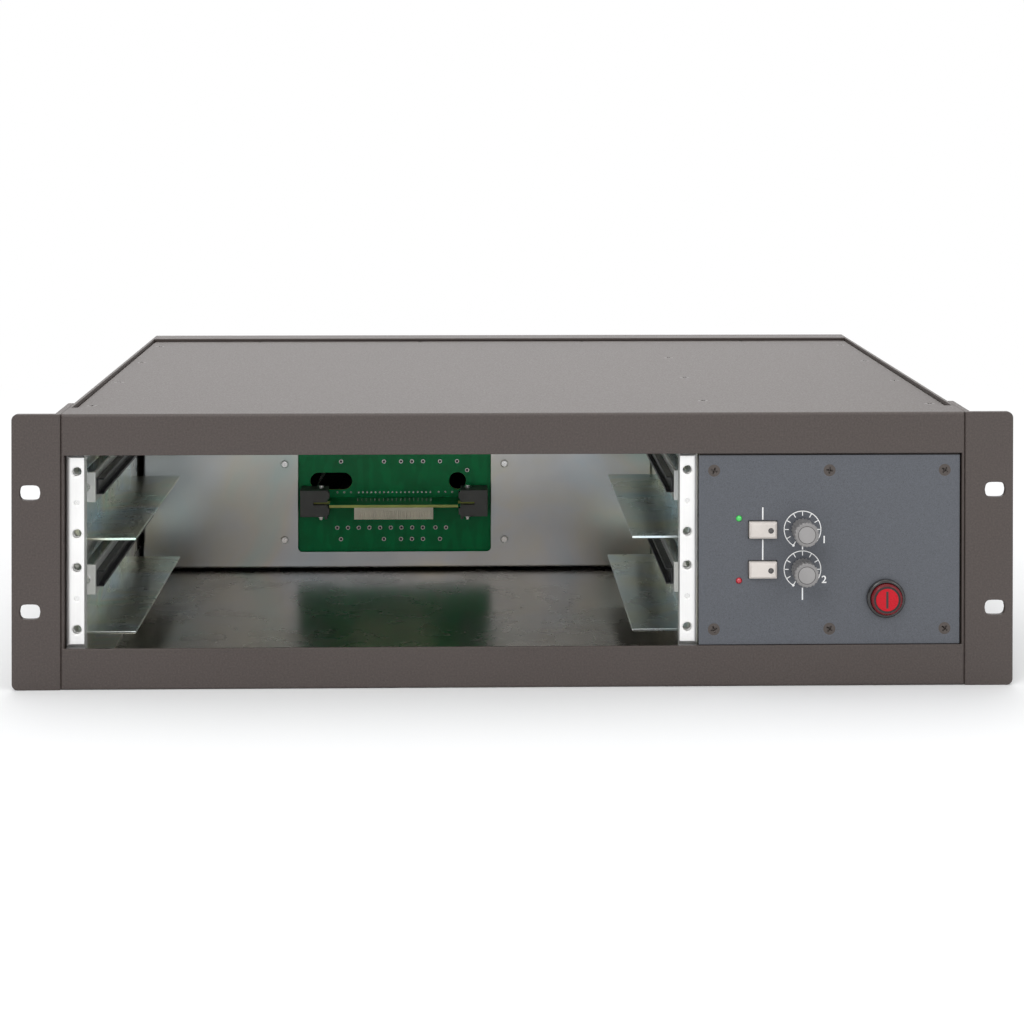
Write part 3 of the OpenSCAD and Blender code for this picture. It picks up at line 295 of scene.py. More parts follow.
# Lowest and highest corner of each separate solid in a node.
def solidsOf(nodeName):
    work = mergedMesh(nodeName)
    left, boxes = set(work.verts), []
    while left:
        stack, found = [left.pop()], []
        while stack:
            v = stack.pop()
            found.append(v.co.copy())
            for edge in v.link_edges:
                other = edge.other_vert(v)
                if other in left:
                    left.discard(other)
                    stack.append(other)
        boxes.append((Vector([min(p[i] for p in found) for i in range(3)]),
                      Vector([max(p[i] for p in found) for i in range(3)])))
    work.free()
    return sorted(boxes, key=lambda b: tuple(round(c, 5) for c in b[0]))


def adopt(piece, body, slotName, *nodes):
    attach(piece, body)
    if nodes:
        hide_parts(*nodes)
    return piece


def linkMesh(name, mesh):
    piece = bpy.data.objects.new(name, mesh)
    bpy.context.scene.collection.objects.link(piece)
    return piece


# The piece's mesh with its live modifiers worked in
def bakedMesh(piece):
    graph = bpy.context.evaluated_depsgraph_get()
    return bpy.data.meshes.new_from_object(piece.evaluated_get(graph), preserve_all_data_layers=True,
                                           depsgraph=graph)


def settle(piece):
    mesh = bakedMesh(piece)
    piece.modifiers.clear()
    piece.data = mesh


# Smooth faces, with every edge sharper than the angle kept crisp.
def keenEdges(mesh, angle=20):
    work = bmesh.new()
    work.from_mesh(mesh)
    for face in work.faces:
        face.smooth = True
    for edge in work.edges:
        edge.smooth = not (len(edge.link_faces) == 2 and edge.calc_face_angle(0) > math.radians(angle))
    work.to_mesh(mesh)
    work.free()


def camel(nodeName):
    first, *rest = nodeName.split("_")
    return first + "".join(word.capitalize() for word in rest)


# A dressed copy of a node: its edges eased, and each face given the finish that choose numbers
def dressNode(nodeName, easing, finishes, choose):
    work = mergedMesh(nodeName)
    for face in work.faces:
        face.material_index = int(choose(face)) if choose else 0
    mesh = bpy.data.meshes.new(camel(nodeName))
    work.to_mesh(mesh)
    work.free()
    for finish in finishes:
        mesh.materials.append(finish)
    piece = linkMesh(camel(nodeName), mesh)
    if easing:
        ease = piece.modifiers.new("ease", "BEVEL")
        ease.width = easing
        ease.segments = 2
        ease.limit_method = "ANGLE"
        ease.angle_limit = math.radians(40)
        ease.use_clamp_overlap = False
        ease.loop_slide = False
        settle(piece)
    keenEdges(piece.data)
    weigh = piece.modifiers.new("weigh", "WEIGHTED_NORMAL")
    weigh.mode = "FACE_AREA"
    weigh.weight = 80
    weigh.keep_sharp = True
    settle(piece)
    return adopt(piece, bodyOfNode[nodeName], slotOfNode[nodeName], nodeName)


# The pins inside the rear connectors are tinned, and these sizes find their faces
pinSizes = {"ring": 3.9 * mm, "radius": 1.3 * mm, "angles": (30, 150, 270),
            "inlet": ((-7, -2), (7, -2), (0, 3)), "half": (1.2 * mm, 2.2 * mm)}
socketBoxes = solidsOf("audio_sockets")
pinnedX = min((b[0].x + b[1].x) / 2 for b in socketBoxes)
pinSpots = [Vector((pinnedX + pinSizes["ring"] * math.cos(math.radians(a)), 0,
                    (b[0].z + b[1].z) / 2 - pinSizes["ring"] * math.sin(math.radians(a))))
            for b in socketBoxes if abs((b[0].x + b[1].x) / 2 - pinnedX) < mm for a in pinSizes["angles"]]
inletCentre = sum((Vector(c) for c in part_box("mains_inlet")), Vector()) / 2


def socketFinish(face):
    at = face.calc_center_median()
    return any(math.hypot(at.x - spot.x, at.z - spot.z) < pinSizes["radius"] for spot in pinSpots)


def inletFinish(face):
    at = face.calc_center_median() - inletCentre
    return any(abs(at.x - x * mm) < pinSizes["half"][0] and abs(at.z - z * mm) < pinSizes["half"][1]
               for x, z in pinSizes["inlet"])


# The mains button is bright inside its ring groove and deep red outside
buttonFace = {"discRadius": 5.95 * mm, "grooveRadius": 6.5 * mm, "sunk": 0.1 * mm}
mainsLow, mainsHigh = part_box("mains_button")
mainsAxis = (mainsLow + mainsHigh) / 2


def mainsFinish(face):
    middle = face.calc_center_median() - mainsAxis
    out = math.hypot(middle.x, middle.z)
    if out > buttonFace["grooveRadius"]:
        return 2
    return out > buttonFace["discRadius"] or mainsAxis.y + middle.y > mainsLow.y + buttonFace["sunk"]


# The contact tails that stand out above each connector board are tinned
def tailFinish(level):
    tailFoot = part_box(level + "_connector_board")[1].z - 0.1 * mm
    return lambda f: f.calc_center_median().z > tailFoot


def facesAhead(face):
    return face.normal.y < -0.5


# How far each piece's edges are eased
sides, levels = ("left", "right"), ("upper", "lower")
bayNodes = {kind: [side + "_" + level + "_" + kind for side in sides for level in levels]
            for kind in ("shelf", "bracket", "guide")}
easeSizes = {
    "front_bezel": 0.00035, "left_side_panel": 0.0003, "right_side_panel": 0.0003, "rear_panel": 0.00035,
    "left_rack_ear": 0.00035, "right_rack_ear": 0.00035, "bay_side_plate": 0.0002, "bay_divider": 0.0002,
    "left_module_rail": 0.00025, "right_module_rail": 0.00025,
    **{nodeName: 0.0002 for names in bayNodes.values() for nodeName in names},
    "bay_rear_plate": 0.0002, "board_holders": 0.0003, "control_panel": 0.0002, "upper_button": 0.00025,
    "lower_button": 0.00025, "mains_collar": 0.0002, "green_led": 0.0, "red_led": 0.0,
    "backplane_studs": 0.0, "cover_angles": 0.0, "upper_knob_shaft": 0.0, "lower_knob_shaft": 0.0,
    "level_controls": 0.0, "transformer": 0.0, "transformer_bolt": 0.0, "psu_capacitors": 0.0,
    "top_cover": 0.00025, "bottom_cover": 0.00025, "upper_connector_board": 0.00008,
    "lower_connector_board": 0.00008, "audio_sockets": 0.0002, "mains_inlet": 0.0003, "psu_frame": 0.0,
    "backplane_board": 0.00008, "upper_socket": 0.0, "lower_socket": 0.0, "mains_button": 0.00015,
}
plainFinish = {"bay_rear_plate": zincWall, **dict.fromkeys(bayNodes["shelf"], zincShelf),
               **dict.fromkeys(bayNodes["bracket"], railMetal)}
# The covers are painted outside only. The supply frame's front faces take the dark case paint as painted
# shade in the gap where the frame shows round the control panel
faceFinish = {
    "top_cover": ([casePaint, zincSteel], lambda f: f.normal.z < -0.5),
    # The bottom cover's inside takes the zinc floor finish, darkened as painted reflection
    "bottom_cover": ([casePaint, zincFloor], lambda f: f.normal.z > 0.5),
    "upper_connector_board": ([boardGreen, boardEdge], facesAhead),
    "lower_connector_board": ([boardGreen, boardEdge], facesAhead),
    "audio_sockets": ([glossBlack, solderTin], socketFinish),
    "mains_inlet": ([glossBlack, solderTin], inletFinish),
    # Front faces of the zinc supply frame are dark: painted shade in the gap round the control panel
    "psu_frame": ([zincSteel, casePaint], facesAhead),
    "backplane_board": ([boardGreen, boardEdge], lambda f: abs(f.normal.y) < 0.5),
    "upper_socket": ([socketCream, solderTin], tailFinish("upper")),
    "lower_socket": ([socketCream, solderTin], tailFinish("lower")),
    "mains_button": ([mainsRed, inkBlack, mainsDeep], mainsFinish),
}
print("easing edges")
for nodeName, easing in easeSizes.items():
    plain = [plainFinish.get(nodeName, finishOfSlot[slotOfNode[nodeName]])]
    dressNode(nodeName, easing, *faceFinish.get(nodeName, (plain, None)))


def startTree(name, inputs):
    tree = bpy.data.node_groups.new(name, "GeometryNodeTree")
    tree.interface.new_socket("Geometry", in_out="INPUT", socket_type="NodeSocketGeometry")
    for label, (kind, value) in inputs.items():
        socket = tree.interface.new_socket(label, in_out="INPUT", socket_type="NodeSocket" + kind)
        if value is not None:
            socket.default_value = value
    tree.interface.new_socket("Geometry", in_out="OUTPUT", socket_type="NodeSocketGeometry")
    return tree, tree.nodes.new("NodeGroupInput").outputs, tree.nodes.new("NodeGroupOutput").inputs


def join(tree, parts):
    made = addNode(tree, "GeometryNodeJoinGeometry")
    for part in parts:
        tree.links.new(part, made.inputs[0])
    return made.outputs[0]


def lift(tree, geometry, height):
    where = addNode(tree, "ShaderNodeCombineXYZ", Z=height).outputs[0]
    return addNode(tree, "GeometryNodeTransform", Geometry=geometry, Translation=where).outputs[0]


def named(tree, kind, name):
    return addNode(tree, "GeometryNodeInputNamedAttribute", {"data_type": kind}, Name=name).outputs[0]


def circle(tree, resolution, radius):
    return addNode(tree, "GeometryNodeCurvePrimitiveCircle", Resolution=resolution, Radius=radius).outputs[0]


def sweep(tree, curve, section, caps=True, scale=1.0):
    return addNode(tree, "GeometryNodeCurveToMesh", Curve=curve, Profile_Curve=section, Scale=scale,
                   Fill_Caps=caps).outputs[0]


# Instances the prototype at each point, its Z along the point's aim, and spins it at random about
# that aim if a seed is given
def sowOnPoints(tree, points, prototype, spinSeed=None):
    aim = named(tree, "FLOAT_VECTOR", "aim")
    turned = addNode(tree, "FunctionNodeAlignRotationToVector", {"axis": "Z"}, Vector=aim).outputs[0]
    if spinSeed is not None:
        spin = addNode(tree, "FunctionNodeRandomValue", {"data_type": "FLOAT"}, Min=0.0, Seed=spinSeed)
        for socket in spin.inputs:
            if socket.name == "Max" and socket.type == "VALUE":
                socket.default_value = math.pi
        angle = [s for s in spin.outputs if s.type == "VALUE" and s.enabled][0]
        about = addNode(tree, "ShaderNodeCombineXYZ", Z=angle).outputs[0]
        local = addNode(tree, "FunctionNodeEulerToRotation", Euler=about).outputs[0]
        turned = addNode(tree, "FunctionNodeRotateRotation", {"rotation_space": "LOCAL"}, Rotation=turned,
                         Rotate_By=local).outputs[0]
    return addNode(tree, "GeometryNodeInstanceOnPoints", Points=points, Instance=prototype,
                   Rotation=turned).outputs[0]


def finishTree(tree, out, geometry, finish, smooth=True):
    real = addNode(tree, "GeometryNodeRealizeInstances", Geometry=geometry).outputs[0]
    if smooth:
        real = addNode(tree, "GeometryNodeSetShadeSmooth", Geometry=real, Shade_Smooth=True).outputs[0]
    clad = addNode(tree, "GeometryNodeSetMaterial", Geometry=real, Material=finish).outputs[0]
    tree.links.new(clad, out["Geometry"])


# A mesh of bare points, each with the direction that it aims in.
def pointCloud(name, places):
    mesh = bpy.data.meshes.new(name + "Points")
    mesh.from_pydata([tuple(p) for p, aim in places], [], [])
    aims = mesh.attributes.new("aim", "FLOAT_VECTOR", "POINT")
    aims.data.foreach_set("vector", [c for p, aim in places for c in aim])
    return mesh


def growPiece(name, tree, mesh, values, sharpAngle=35):
    host = linkMesh(name + "Host", mesh)
    mod = host.modifiers.new("grow", "NODES")
    mod.node_group = tree
    sockets = {s.name: s.identifier for s in tree.interface.items_tree
               if s.item_type == "SOCKET" and s.in_out == "INPUT"}
    for label, value in values.items():
        mod[sockets[label]] = value
    made = bakedMesh(host)
    bpy.data.objects.remove(host)
    keenEdges(made, sharpAngle)
    return linkMesh(name, made)


def screwHeadTree():
    tree, given, out = startTree("screwHeads", {
        "headRadius": ("Float", 2.0), "headHeight": ("Float", 1.5), "footShare": ("Float", 1.0),
        "crown": ("Float", 0.4), "headTop": ("Float", 0.0), "recessLength": ("Float", 2.0),
        "recessWidth": ("Float", 0.5), "recessDepth": ("Float", 0.7), "spinSeed": ("Int", 4),
        "finish": ("Material", None)})
    blank = addNode(tree, "GeometryNodeMeshCylinder", {"fill_type": "TRIANGLE_FAN"}, Vertices=36,
                    Side_Segments=3, Fill_Segments=6, Radius=given["headRadius"],
                    Depth=given["headHeight"]).outputs["Mesh"]
    at = addNode(tree, "GeometryNodeInputPosition").outputs[0]
    split = addNode(tree, "ShaderNodeSeparateXYZ", Vector=at).outputs
    up = calc(tree, "ADD", calc(tree, "DIVIDE", split["Z"], given["headHeight"]), 0.5)
    squares = [calc(tree, "MULTIPLY", split[axis], split[axis]) for axis in ("X", "Y")]
    reach = calc(tree, "DIVIDE", calc(tree, "SQRT", calc(tree, "ADD", *squares)), given["headRadius"])
    drop = calc(tree, "MULTIPLY", calc(tree, "MULTIPLY", calc(tree, "POWER", reach, 5.0), given["crown"]),
                calc(tree, "MULTIPLY", up, given["headHeight"]))
    widening = calc(tree, "MULTIPLY", calc(tree, "SUBTRACT", 1.0, given["footShare"]), up)
    share = calc(tree, "ADD", given["footShare"], widening)
    moved = addNode(tree, "ShaderNodeCombineXYZ", X=calc(tree, "MULTIPLY", split["X"], share),
                    Y=calc(tree, "MULTIPLY", split["Y"], share),
                    Z=calc(tree, "SUBTRACT", split["Z"], drop)).outputs[0]
    head = addNode(tree, "GeometryNodeSetPosition", Geometry=blank, Position=moved).outputs[0]
    top = calc(tree, "MULTIPLY", given["headHeight"], 0.5)
    bars = []
    for alongX, alongY in (("recessLength", "recessWidth"), ("recessWidth", "recessLength")):
        size = addNode(tree, "ShaderNodeCombineXYZ", X=given[alongX], Y=given[alongY],
                       Z=calc(tree, "MULTIPLY", given["recessDepth"], 2.0)).outputs[0]
        bars.append(lift(tree, addNode(tree, "GeometryNodeMeshCube", Size=size).outputs["Mesh"], top))
    pit = addNode(tree, "GeometryNodeMeshCone", Vertices=12,
                  Radius_Top=calc(tree, "MULTIPLY", given["recessWidth"], 1.1),
                  Radius_Bottom=calc(tree, "MULTIPLY", given["recessWidth"], 0.3),
                  Depth=calc(tree, "MULTIPLY", given["recessDepth"], 1.6)).outputs["Mesh"]
    pitMiddle = calc(tree, "SUBTRACT", top, calc(tree, "MULTIPLY", given["recessDepth"], 1.35))
    pit = lift(tree, pit, pitMiddle)
    cross = addNode(tree, "GeometryNodeMeshBoolean", {"operation": "DIFFERENCE"})
    tree.links.new(head, cross.inputs["Mesh 1"])
    for bar in (*bars, pit):
        tree.links.new(bar, cross.inputs["Mesh 2"])
    placed = lift(tree, cross.outputs["Mesh"], calc(tree, "SUBTRACT", given["headTop"], top))
    placed = addNode(tree, "GeometryNodeTransform", Geometry=placed, Scale=(mm, mm, mm)).outputs[0]
    sown = sowOnPoints(tree, given["Geometry"], placed, given["spinSeed"])
    finishTree(tree, out, sown, given["finish"])
    return tree


screwHeads = screwHeadTree()
plusX, plusY, plusZ = Vector((1, 0, 0)), Vector((0, 1, 0)), Vector((0, 0, 1))


def boxCentre(box):
    return (box[0] + box[1]) / 2


# The centre of the box's face on the side that aim points to.
def faceOf(box, aim):
    point = boxCentre(box)
    for i in range(3):
        if aim[i] > 0.5:
            point[i] = box[1][i]
        elif aim[i] < -0.5:
            point[i] = box[0][i]
    return point


# The middle of one face of each box, with the way that it faces.
def facePlaces(boxes, aimOf):
    return [(faceOf(box, aimOf(box)), aimOf(box)) for box in boxes]


# Grows the heads, then paints the inside of each cross recess black as painted shade
recessSlack = {"reach": 0.05 * mm, "depth": 0.03 * mm}


def growScrews(name, places, finish, slotName, sizes, *nodes):
    piece = growPiece(name, screwHeads, pointCloud(name, places), dict(sizes, finish=finish))
    piece.data.materials.append(inkBlack)
    recessReach = sizes["recessLength"] / 2 * mm + recessSlack["reach"]
    for face in piece.data.polygons:
        spot, aim = min(places, key=lambda place: (face.center - place[0]).length_squared)
        offset = face.center - spot
        sunk = -offset.dot(aim)
        # Faces down inside the recess are inked black: painted shade in the recess
        if sunk > recessSlack["depth"] and (offset + aim * sunk).length < recessReach:
            face.material_index = 1
    return adopt(piece, "case", slotName, *nodes)


# Screw sizes are in millimetres
panelScrewSizes = {"headRadius": 2.9, "headHeight": 1.5, "footShare": 0.55, "crown": 0.05, "headTop": 0.0,
                   "recessLength": 3.3, "recessWidth": 0.85, "recessDepth": 0.8, "spinSeed": 11}
growScrews("controlPanelScrewHeads", facePlaces(solidsOf("control_panel_screws"), lambda b: -plusY),
           blackSteel, "black_screws", panelScrewSizes, "control_panel_screws")

coverScrewSizes = {"headRadius": 2.75, "headHeight": 1.3, "footShare": 0.6, "crown": 0.04, "headTop": 0.0,
                   "recessLength": 3.1, "recessWidth": 0.8, "recessDepth": 0.75, "spinSeed": 5}
coverScrewPlaces = facePlaces(solidsOf("cover_screws"), lambda b: plusZ if b[0].z > 0 else -plusZ)
growScrews("coverScrewHeads", coverScrewPlaces, blackSteel, "black_screws", coverScrewSizes, "cover_screws")

tabScrewSizes = {"headRadius": 2.0, "headHeight": 1.6, "footShare": 1.0, "crown": 0.5, "headTop": 0.0,
                 "recessLength": 2.3, "recessWidth": 0.55, "recessDepth": 0.7, "spinSeed": 8}
# The rails' own screws stand ahead of this depth, and the brackets' behind it
railScrewDepth = 30 * mm
tabScrewBoxes = [b for b in solidsOf("bay_screws") if b[0].y >= railScrewDepth]
growScrews("tabScrewHeads", facePlaces(tabScrewBoxes, lambda b: -plusY), brightSteel, "bright_steel",
           tabScrewSizes)

holderScrewSizes = {"headRadius": 2.2, "headHeight": 1.3, "footShare": 1.0, "crown": 0.45, "headTop": 0.0,
                    "recessLength": 2.6, "recessWidth": 0.6, "recessDepth": 0.65, "spinSeed": 3}
growScrews("holderScrewHeads", facePlaces(solidsOf("holder_screws"), lambda b: plusZ), brightSteel,
           "bright_steel", holderScrewSizes)

earScrewSizes = {"headRadius": 4.4, "headHeight": 2.2, "footShare": 1.0, "crown": 0.42, "headTop": 0.0,
                 "recessLength": 5.0, "recessWidth": 1.1, "recessDepth": 1.1, "spinSeed": 2}
earScrewPlaces = facePlaces(solidsOf("ear_screws"), lambda b: plusX if b[0].x > 0 else -plusX)
growScrews("earScrewHeads", earScrewPlaces, blackSteel, "black_screws", earScrewSizes)
# Screws set into the flanges of the rear connectors
flangeScrewSizes = {"headRadius": 1.55, "headHeight": 1.2, "footShare": 1.0, "crown": 0.3, "headTop": -0.15,
                    "recessLength": 1.9, "recessWidth": 0.45, "recessDepth": 0.5, "spinSeed": 6}
flangeHoles = {"audio": ((-9.5, -12.0), (9.5, 12.0)), "inlet": ((-20.0, 0.0), (20.0, 0.0))}
flangePlaces = []
for holes, boxes in ((flangeHoles["audio"], socketBoxes), (flangeHoles["inlet"], [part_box("mains_inlet")])):
    for box in boxes:
        face = faceOf((Vector(box[0]), Vector(box[1])), plusY)
        flangePlaces += [(face + Vector((x * mm, 0, z * mm)), plusY) for x, z in holes]
growScrews("flangeScrewHeads", flangePlaces, brightSteel, "bright_steel", flangeScrewSizes)
print("screw heads grown")


# A section swept up a spine: the width at each point scales it there, and lobes flute it
def turnedTree():
    tree, given, out = startTree("turnedPiece", {
        "sectionPoints": ("Int", 64), "lobes": ("Float", 0.0), "lobeDepth": ("Float", 0.0),
        "centre": ("Vector", None), "turn": ("Vector", None), "finish": ("Material", None)})
    ring = circle(tree, given["sectionPoints"], 1.0)
    at = addNode(tree, "GeometryNodeInputPosition").outputs[0]
    split = addNode(tree, "ShaderNodeSeparateXYZ", Vector=at).outputs
    around = calc(tree, "ARCTAN2", split["Y"], split["X"])
    wave = calc(tree, "COSINE", calc(tree, "MULTIPLY", around, given["lobes"]))
    flute = calc(tree, "POWER", calc(tree, "SUBTRACT", 0.5, calc(tree, "MULTIPLY", wave, 0.5)), 1.4)
    inward = calc(tree, "SUBTRACT", 1.0, calc(tree, "MULTIPLY", flute, given["lobeDepth"]))
    fluted = addNode(tree, "ShaderNodeVectorMath", {"operation": "SCALE"}, Vector=at,
                     Scale=inward).outputs[0]
    section = addNode(tree, "GeometryNodeSetPosition", Geometry=ring, Position=fluted).outputs[0]
    spine = addNode(tree, "GeometryNodeMeshToCurve", Mesh=given["Geometry"]).outputs[0]
    width = named(tree, "FLOAT", "width")
    swept = sweep(tree, spine, section, scale=width)
    stood = addNode(tree, "GeometryNodeTransform", Geometry=swept, Translation=given["centre"],
                    Rotation=given["turn"]).outputs[0]
    finishTree(tree, out, stood, given["finish"])
    return tree


turnedPiece = turnedTree()
towardsFront = (math.pi / 2, 0, 0)


# Pairs in a profile are the distance ahead of the back and radius there, both in millimetres
def turnPiece(name, profile, centre, finish, body, slotName, *nodes, lobes=0, lobeDepth=0.0, points=64,
              sharpAngle=28):
    mesh = bpy.data.meshes.new(name + "Spine")
    mesh.from_pydata([(0, 0, ahead * mm) for ahead, radius in profile],
                     [(i, i + 1) for i in range(len(profile) - 1)], [])
    widths = mesh.attributes.new("width", "FLOAT", "POINT")
    widths.data.foreach_set("value", [radius * mm for ahead, radius in profile])
    values = {"sectionPoints": points, "lobes": float(lobes), "lobeDepth": lobeDepth, "centre": centre,
              "turn": towardsFront, "finish": finish}
    piece = growPiece(name, turnedPiece, mesh, values, sharpAngle)
    return adopt(piece, body, slotName, *nodes)


# Knobs: a fluted grip with a rounded rim, a paler cap let into the face, and a black ring in the gap round
# the cap as painted shade
knobSizes = {
    "grip": [(0.0, 5.1), (0.15, 5.45), (0.5, 5.62), (1.2, 5.66), (10.8, 5.80), (11.2, 5.97), (12.5, 5.97),
             (12.85, 5.9), (13.08, 5.72), (13.2, 5.4), (13.22, 4.6)],
    "line": [(12.9, 4.25), (13.24, 4.25), (13.25, 4.15)],
    "cap": [(12.9, 4.0), (13.26, 4.0), (13.34, 3.9), (13.38, 3.6), (13.4, 2.0), (13.405, 0.4)],
    "lobes": 20, "lobeDepth": 0.07, "pointsPerLobe": 10,
}
for level in levels:
    low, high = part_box(level + "_knob")
    knobBack, rides = ((low.x + high.x) / 2, high.y, (low.z + high.z) / 2), level + "_knob_turn"
    turnPiece(level + "KnobGrip", knobSizes["grip"], knobBack, knobGrey, rides, "knob_plastic",
              level + "_knob", lobes=knobSizes["lobes"], lobeDepth=knobSizes["lobeDepth"],
              points=knobSizes["lobes"] * knobSizes["pointsPerLobe"], sharpAngle=40)
    # The black ring stands in the gap between grip and cap: painted shade there
    turnPiece(level + "KnobLine", knobSizes["line"], knobBack, inkBlack, rides, "knob_plastic")
    turnPiece(level + "KnobCap", knobSizes["cap"], knobBack, knobCapGrey, rides, "knob_plastic")

# Buttons: a smoked lens in a dark rim at the right of each face
lensSizes = {"rim": [(0.0, 1.35), (0.62, 1.35), (0.68, 1.28), (0.7, 1.05)],
             "dome": [(0.0, 1.02), (0.7, 1.02), (0.78, 0.85), (0.84, 0.55), (0.86, 0.1)],
             "right": 3.6, "sunk": 0.6, "points": 28}
for level in levels:
    low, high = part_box(level + "_button")
    lensBack = ((low.x + high.x) / 2 + lensSizes["right"] * mm, low.y + lensSizes["sunk"] * mm,
                (low.z + high.z) / 2)
    for part, profile, finish in (("Rim", "rim", inkBlack), ("Lens", "dome", smokeLens)):
        turnPiece(level + "Button" + part, lensSizes[profile], lensBack, finish, level + "_button_cap",
                  "button_plastic", points=lensSizes["points"])


def boxesPiece(name, boxes, finish, body, slotName):
    work = bmesh.new()
    for low, high in boxes:
        made = bmesh.ops.create_cube(work, size=1.0)["verts"]
        for vert in made:
            vert.co = Vector([low[i] if vert.co[i] < 0 else high[i] for i in range(3)])
    mesh = bpy.data.meshes.new(name)
    work.to_mesh(mesh)
    work.free()
    mesh.materials.append(finish)
    keenEdges(mesh)
    return adopt(linkMesh(name, mesh), body, slotName)


# The mains button carries a dark upright bar on its face
mainsBar = {"height": 8.2 * mm, "width": 1.1 * mm, "sunk": 0.4 * mm, "proud": 0.03 * mm}
acrossBar, upBar = mainsBar["width"] / 2, mainsBar["height"] / 2
barLow = (mainsAxis.x - acrossBar, mainsLow.y - mainsBar["proud"], mainsAxis.z - upBar)
barHigh = (mainsAxis.x + acrossBar, mainsLow.y + mainsBar["sunk"], mainsAxis.z + upBar)
boxesPiece("mainsBar", [(barLow, barHigh)], inkBlack, "mains_push", "mains_lens")
print("knobs and buttons turned")


# A printed dial: an open ring with even ticks on its inside
def dialTree():
    tree, given, out = startTree("printedDial", {
        "ringRadius": ("Float", 0.009), "tickStart": ("Float", 0.0066), "tickCount": ("Int", 11),
        "sweep": ("Float", 5.236), "firstAngle": ("Float", 5.236), "lineWidth": ("Float", 0.0004),
        "inkHeight": ("Float", 0.00004), "finish": ("Material", None)})
    pen = addNode(tree, "GeometryNodeCurvePrimitiveQuadrilateral", Width=given["lineWidth"],
                  Height=calc(tree, "MULTIPLY", given["inkHeight"], 2.0)).outputs[0]
    arc = addNode(tree, "GeometryNodeCurveArc", Resolution=120, Radius=given["ringRadius"],
                  Start_Angle=given["firstAngle"], Sweep_Angle=given["sweep"]).outputs[0]
    ring = sweep(tree, arc, pen)
    tickFrom = addNode(tree, "ShaderNodeCombineXYZ", X=given["tickStart"]).outputs[0]
    tickTo = addNode(tree, "ShaderNodeCombineXYZ", X=given["ringRadius"]).outputs[0]
    tickLine = addNode(tree, "GeometryNodeCurvePrimitiveLine", Start=tickFrom, End=tickTo).outputs[0]
    tick = sweep(tree, tickLine, pen)
    hubs = addNode(tree, "GeometryNodePoints", Count=given["tickCount"]).outputs[0]
    index = addNode(tree, "GeometryNodeInputIndex").outputs[0]
    step = calc(tree, "DIVIDE", given["sweep"], calc(tree, "SUBTRACT", given["tickCount"], 1.0))
    angle = calc(tree, "ADD", given["firstAngle"], calc(tree, "MULTIPLY", index, step))
    turn = addNode(tree, "ShaderNodeCombineXYZ", Z=angle).outputs[0]
    ticks = addNode(tree, "GeometryNodeInstanceOnPoints", Points=hubs, Instance=tick,
                    Rotation=turn).outputs[0]
    sown = sowOnPoints(tree, given["Geometry"], join(tree, (ring, ticks)))
    finishTree(tree, out, sown, given["finish"], False)
    return tree


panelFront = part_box("control_panel")[0].y
# What is printed on the control panel, in millimetres and degrees
printSizes = {"ringRadius": 8.9, "tickStart": 6.7, "tickCount": 11, "sweep": 300, "firstAngle": 300,
              "lineWidth": 0.42, "inkHeight": 0.03, "barWidth": 0.62, "digitHeight": 3.5,
              "digitRight": 10.5, "digitDown": 5.1, "dot": 0.62, "dotDepth": 0.05, "dotAngle": 240}
dialCentres = []
for level in levels:
    middle = boxCentre(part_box(level + "_knob"))
    dialCentres.append(Vector((middle.x, panelFront, middle.z)))
dialValues = {key: printSizes[key] * mm for key in ("ringRadius", "tickStart", "lineWidth", "inkHeight")}
dialValues.update(tickCount=printSizes["tickCount"], sweep=math.radians(printSizes["sweep"]),
                  firstAngle=math.radians(printSizes["firstAngle"]), finish=printWhite)
dialPoints = pointCloud("dialPrints", [(centre, -plusY) for centre in dialCentres])
adopt(growPiece("dialPrints", dialTree(), dialPoints, dialValues), "case", "panel_paint")

# Upright lines that tie the buttons and the dials together. Each end is so many millimetres from
# a button's edge or a dial's centre
uprightSizes = {"aboveButtons": (0.8, 6.8), "betweenButtons": (0.6, 0.8), "betweenDials": (9.7, 6.6),
                "belowDials": (14.8, 8.9)}
ends = {name: (low * mm, high * mm) for name, (low, high) in uprightSizes.items()}
upperButton, lowerButton = [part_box(level + "_button") for level in levels]
buttonX, dialX = boxCentre(upperButton).x, dialCentres[0].x
uprights = [
    (buttonX, upperButton[1].z + ends["aboveButtons"][0], upperButton[1].z + ends["aboveButtons"][1]),
    (buttonX, lowerButton[1].z + ends["betweenButtons"][0], upperButton[0].z - ends["betweenButtons"][1]),
    (dialX, dialCentres[0].z - ends["betweenDials"][0], dialCentres[0].z - ends["betweenDials"][1]),
    (dialX, dialCentres[1].z - ends["belowDials"][0], dialCentres[1].z - ends["belowDials"][1]),
]
ink, half = printSizes["inkHeight"] * mm, printSizes["barWidth"] * mm / 2
boxesPiece("uprightPrints", [((x - half, panelFront - ink, low), (x + half, panelFront + ink, high))
                             for x, low, high in uprights], printWhite, "case", "panel_paint")
# A dot on each ring where its scale starts
dotAngle = math.radians(printSizes["dotAngle"])
dotProfile = [(ahead, printSizes["dot"]) for ahead in (0.0, printSizes["dotDepth"])]
for number, centre in enumerate(dialCentres, 1):
    dotAt = (centre.x + printSizes["ringRadius"] * mm * math.cos(dotAngle), panelFront + ink / 2,
             centre.z + printSizes["ringRadius"] * mm * math.sin(dotAngle))
    turnPiece("dialDot" + str(number), dotProfile, dotAt, printWhite, "case", "panel_paint", points=20)


# A font's size over the height of its digits, and how far the strokes are thickened
letterSizes = {"capShare": 0.70, "thicken": 0.022}


